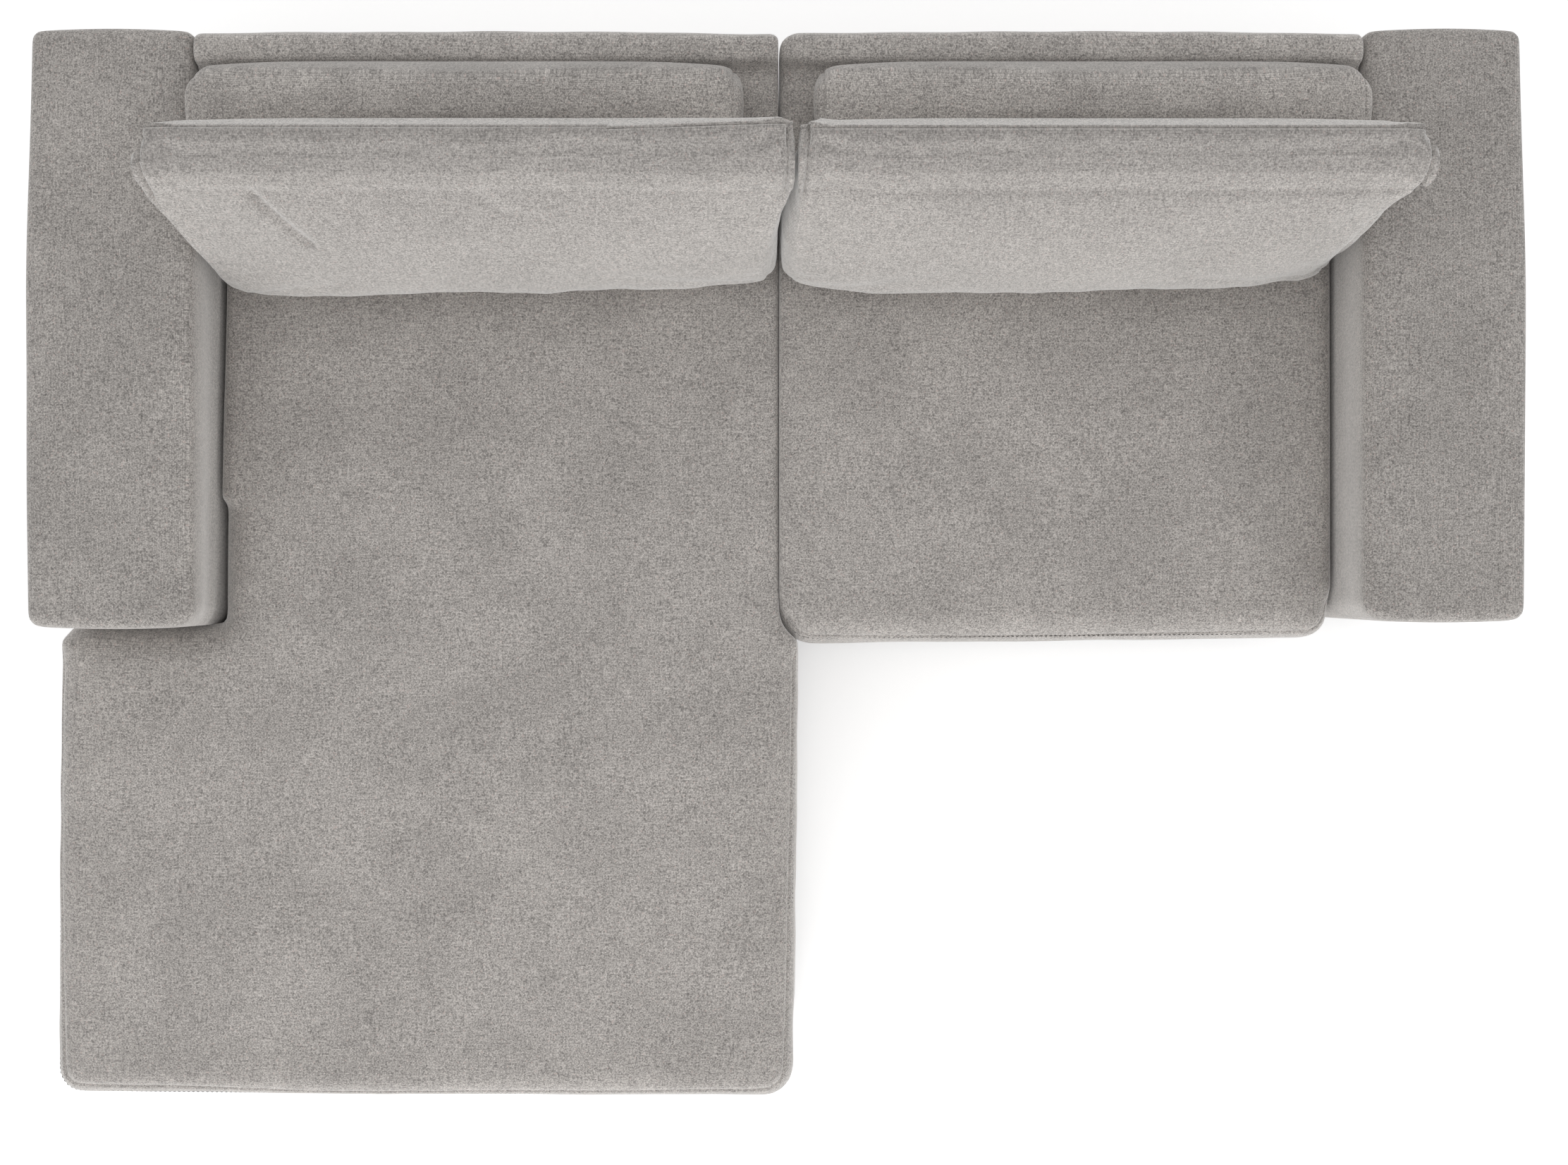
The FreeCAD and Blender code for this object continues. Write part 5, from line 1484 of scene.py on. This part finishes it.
@dataclass(frozen=True)
class Studio:
    """Floor, light and camera."""

    camera: tuple = (0.023, -0.0065, 3.407)
    lens: float = 38.36
    floor_colour: float = 0.90
    floor_lift: float = 0.34
    floor_half: float = 9.0
    sky: float = 0.84
    softbox: float = 0.08
    front: float = 0.50

    def build(self) -> None:
        """Builds the stage."""
        scene = bpy.context.scene
        scene.view_settings.view_transform = "Standard"
        self.build_floor()
        self.build_light()
        data = bpy.data.cameras.new("camera")
        data.lens, data.sensor_width = self.lens, 36.0
        camera = bpy.data.objects.new("camera", data)
        camera.location = self.camera
        scene.collection.objects.link(camera)
        scene.camera = camera

    def build_floor(self) -> None:
        """A pale plain floor that keeps the sofa's shadow."""
        paint = Surface("studio_floor")
        path = paint.add("LightPath").outputs
        seen = paint.math("MAXIMUM", path["Is Camera Ray"], path["Is Glossy Ray"])
        paint.set({
            "Base Color": shade((self.floor_colour,) * 3, 1.0), "Roughness": 1.0, "Specular IOR Level": 0.0,
            "Emission Color": (1.0, 1.0, 1.0, 1.0), "Emission Strength": paint.times(seen, self.floor_lift)})
        half = self.floor_half
        points = np.array([(-half, -half, 0.0), (half, -half, 0.0), (half, half, 0.0), (-half, half, 0.0)])
        floor = make_piece("studio_floor", points, [(0, 1, 2, 3)], paint.material)

    def build_light(self) -> None:
        """An even pale sky and two large soft lamps."""
        world = bpy.data.worlds.new("studio_sky")
        world.use_nodes = True
        graph = Graph(world.node_tree)
        path = graph.add("LightPath").outputs
        seen = graph.math("MAXIMUM", path["Is Camera Ray"], path["Is Transmission Ray"])
        strength = graph.blend(seen, self.sky, 1.0)
        sky = graph.add("Background", {"Color": (1.0, 1.0, 1.0, 1.0), "Strength": strength})
        graph.add("OutputWorld", {"Surface": sky.outputs[0]})
        bpy.context.scene.world = world
        self.add_lamp("softbox", Vector((0.0, -0.9, 4.3)), (3.0, 2.4), self.softbox)
        self.add_lamp("front_wall", Vector((0.0, -5.0, 1.05)), (4.5, 0.9), self.front)

    def add_lamp(self, name: str, where: Vector, size: tuple, strength: float) -> None:
        """Adds a soft lamp that points at the middle of the sofa.

        Args:
            name: The lamp's name.
            where: Its place.
            size: Its width and height, in metres.
            strength: How much it adds on a surface that faces it, where 1 shows a colour as it is.
        """
        lamp = bpy.data.lights.new(name, "AREA")
        lamp.shape = "RECTANGLE"
        lamp.size, lamp.size_y = size
        way = Vector((0.0, 0.0, 0.4)) - where
        lamp.energy = strength * math.pi * math.pi * way.length_squared
        light = bpy.data.objects.new(name, lamp)
        light.location = where
        light.rotation_euler = way.to_track_quat("-Z", "Y").to_euler()
        light.visible_camera = False
        bpy.context.scene.collection.objects.link(light)


def main() -> None:
    """Builds the sofa and its stage."""
    logging.basicConfig(level=logging.INFO, format="%(name)s: %(message)s")
    Studio().build()
    dress_hardware()
    # A lighter copy of the fabric for the backs and base bands, painted light.
    across = Chenille("chenille_across", colour=(0.383, 0.359, 0.339)).build()
    seat_cloth = Chenille("chenille_seats", seed=2.0).build()
    # Darker copies of the fabric for the arms, painted shade, with the right arm darker than the left.
    arms = {
        side: Chenille(
            "chenille_" + side.word + "_arm", colour, Ribs.LENGTHWISE, seed=4.0, sheen=0.8).build()
        for side, colour in ((Side.LEFT, (0.332, 0.311, 0.293)), (Side.RIGHT, (0.316, 0.296, 0.279)))}
    # A lighter, cooler copy of the fabric for the cushions, painted light; the facing amount paints shade on
    # their level tops and light on their rear strips.
    plush = Chenille(
        "chenille_cushions", colour=(0.372, 0.350, 0.332), row=3.6, seed=7.0, cloud=0.06, contrast=0.70,
        tint=(0.93, 0.93, 0.92), painted_tilt_shade=0.24, holes=0.50).build()
    # A darker copy of the fabric for the pads, painted shade; the negative facing amount paints light on
    # their level tops and shade on their rear faces.
    pad_cloth = Chenille(
        "chenille_pads", colour=(0.340, 0.319, 0.301), seed=11.0, sheen=0.6, painted_tilt_shade=-0.12).build()
    thread = PlainCloth("sewing_thread", (0.10, 0.095, 0.09), 0.8).build()
    dust = PlainCloth("dust_cloth", (0.03, 0.03, 0.03), 1.0).build()
    for side in Side:
        for part in (
                SeatTop(side, seat_cloth, thread), Arm(side, arms[side]), FixedBack(side, across),
                Headrest(side, pad_cloth), LooseCushion(side, plush), BaseBand(side, across),
                DustSheet(side, dust)):
            part.build()
            log.info("built %s of the %s side", type(part).__name__, side.word)


if __name__ == "__main__":
    main()
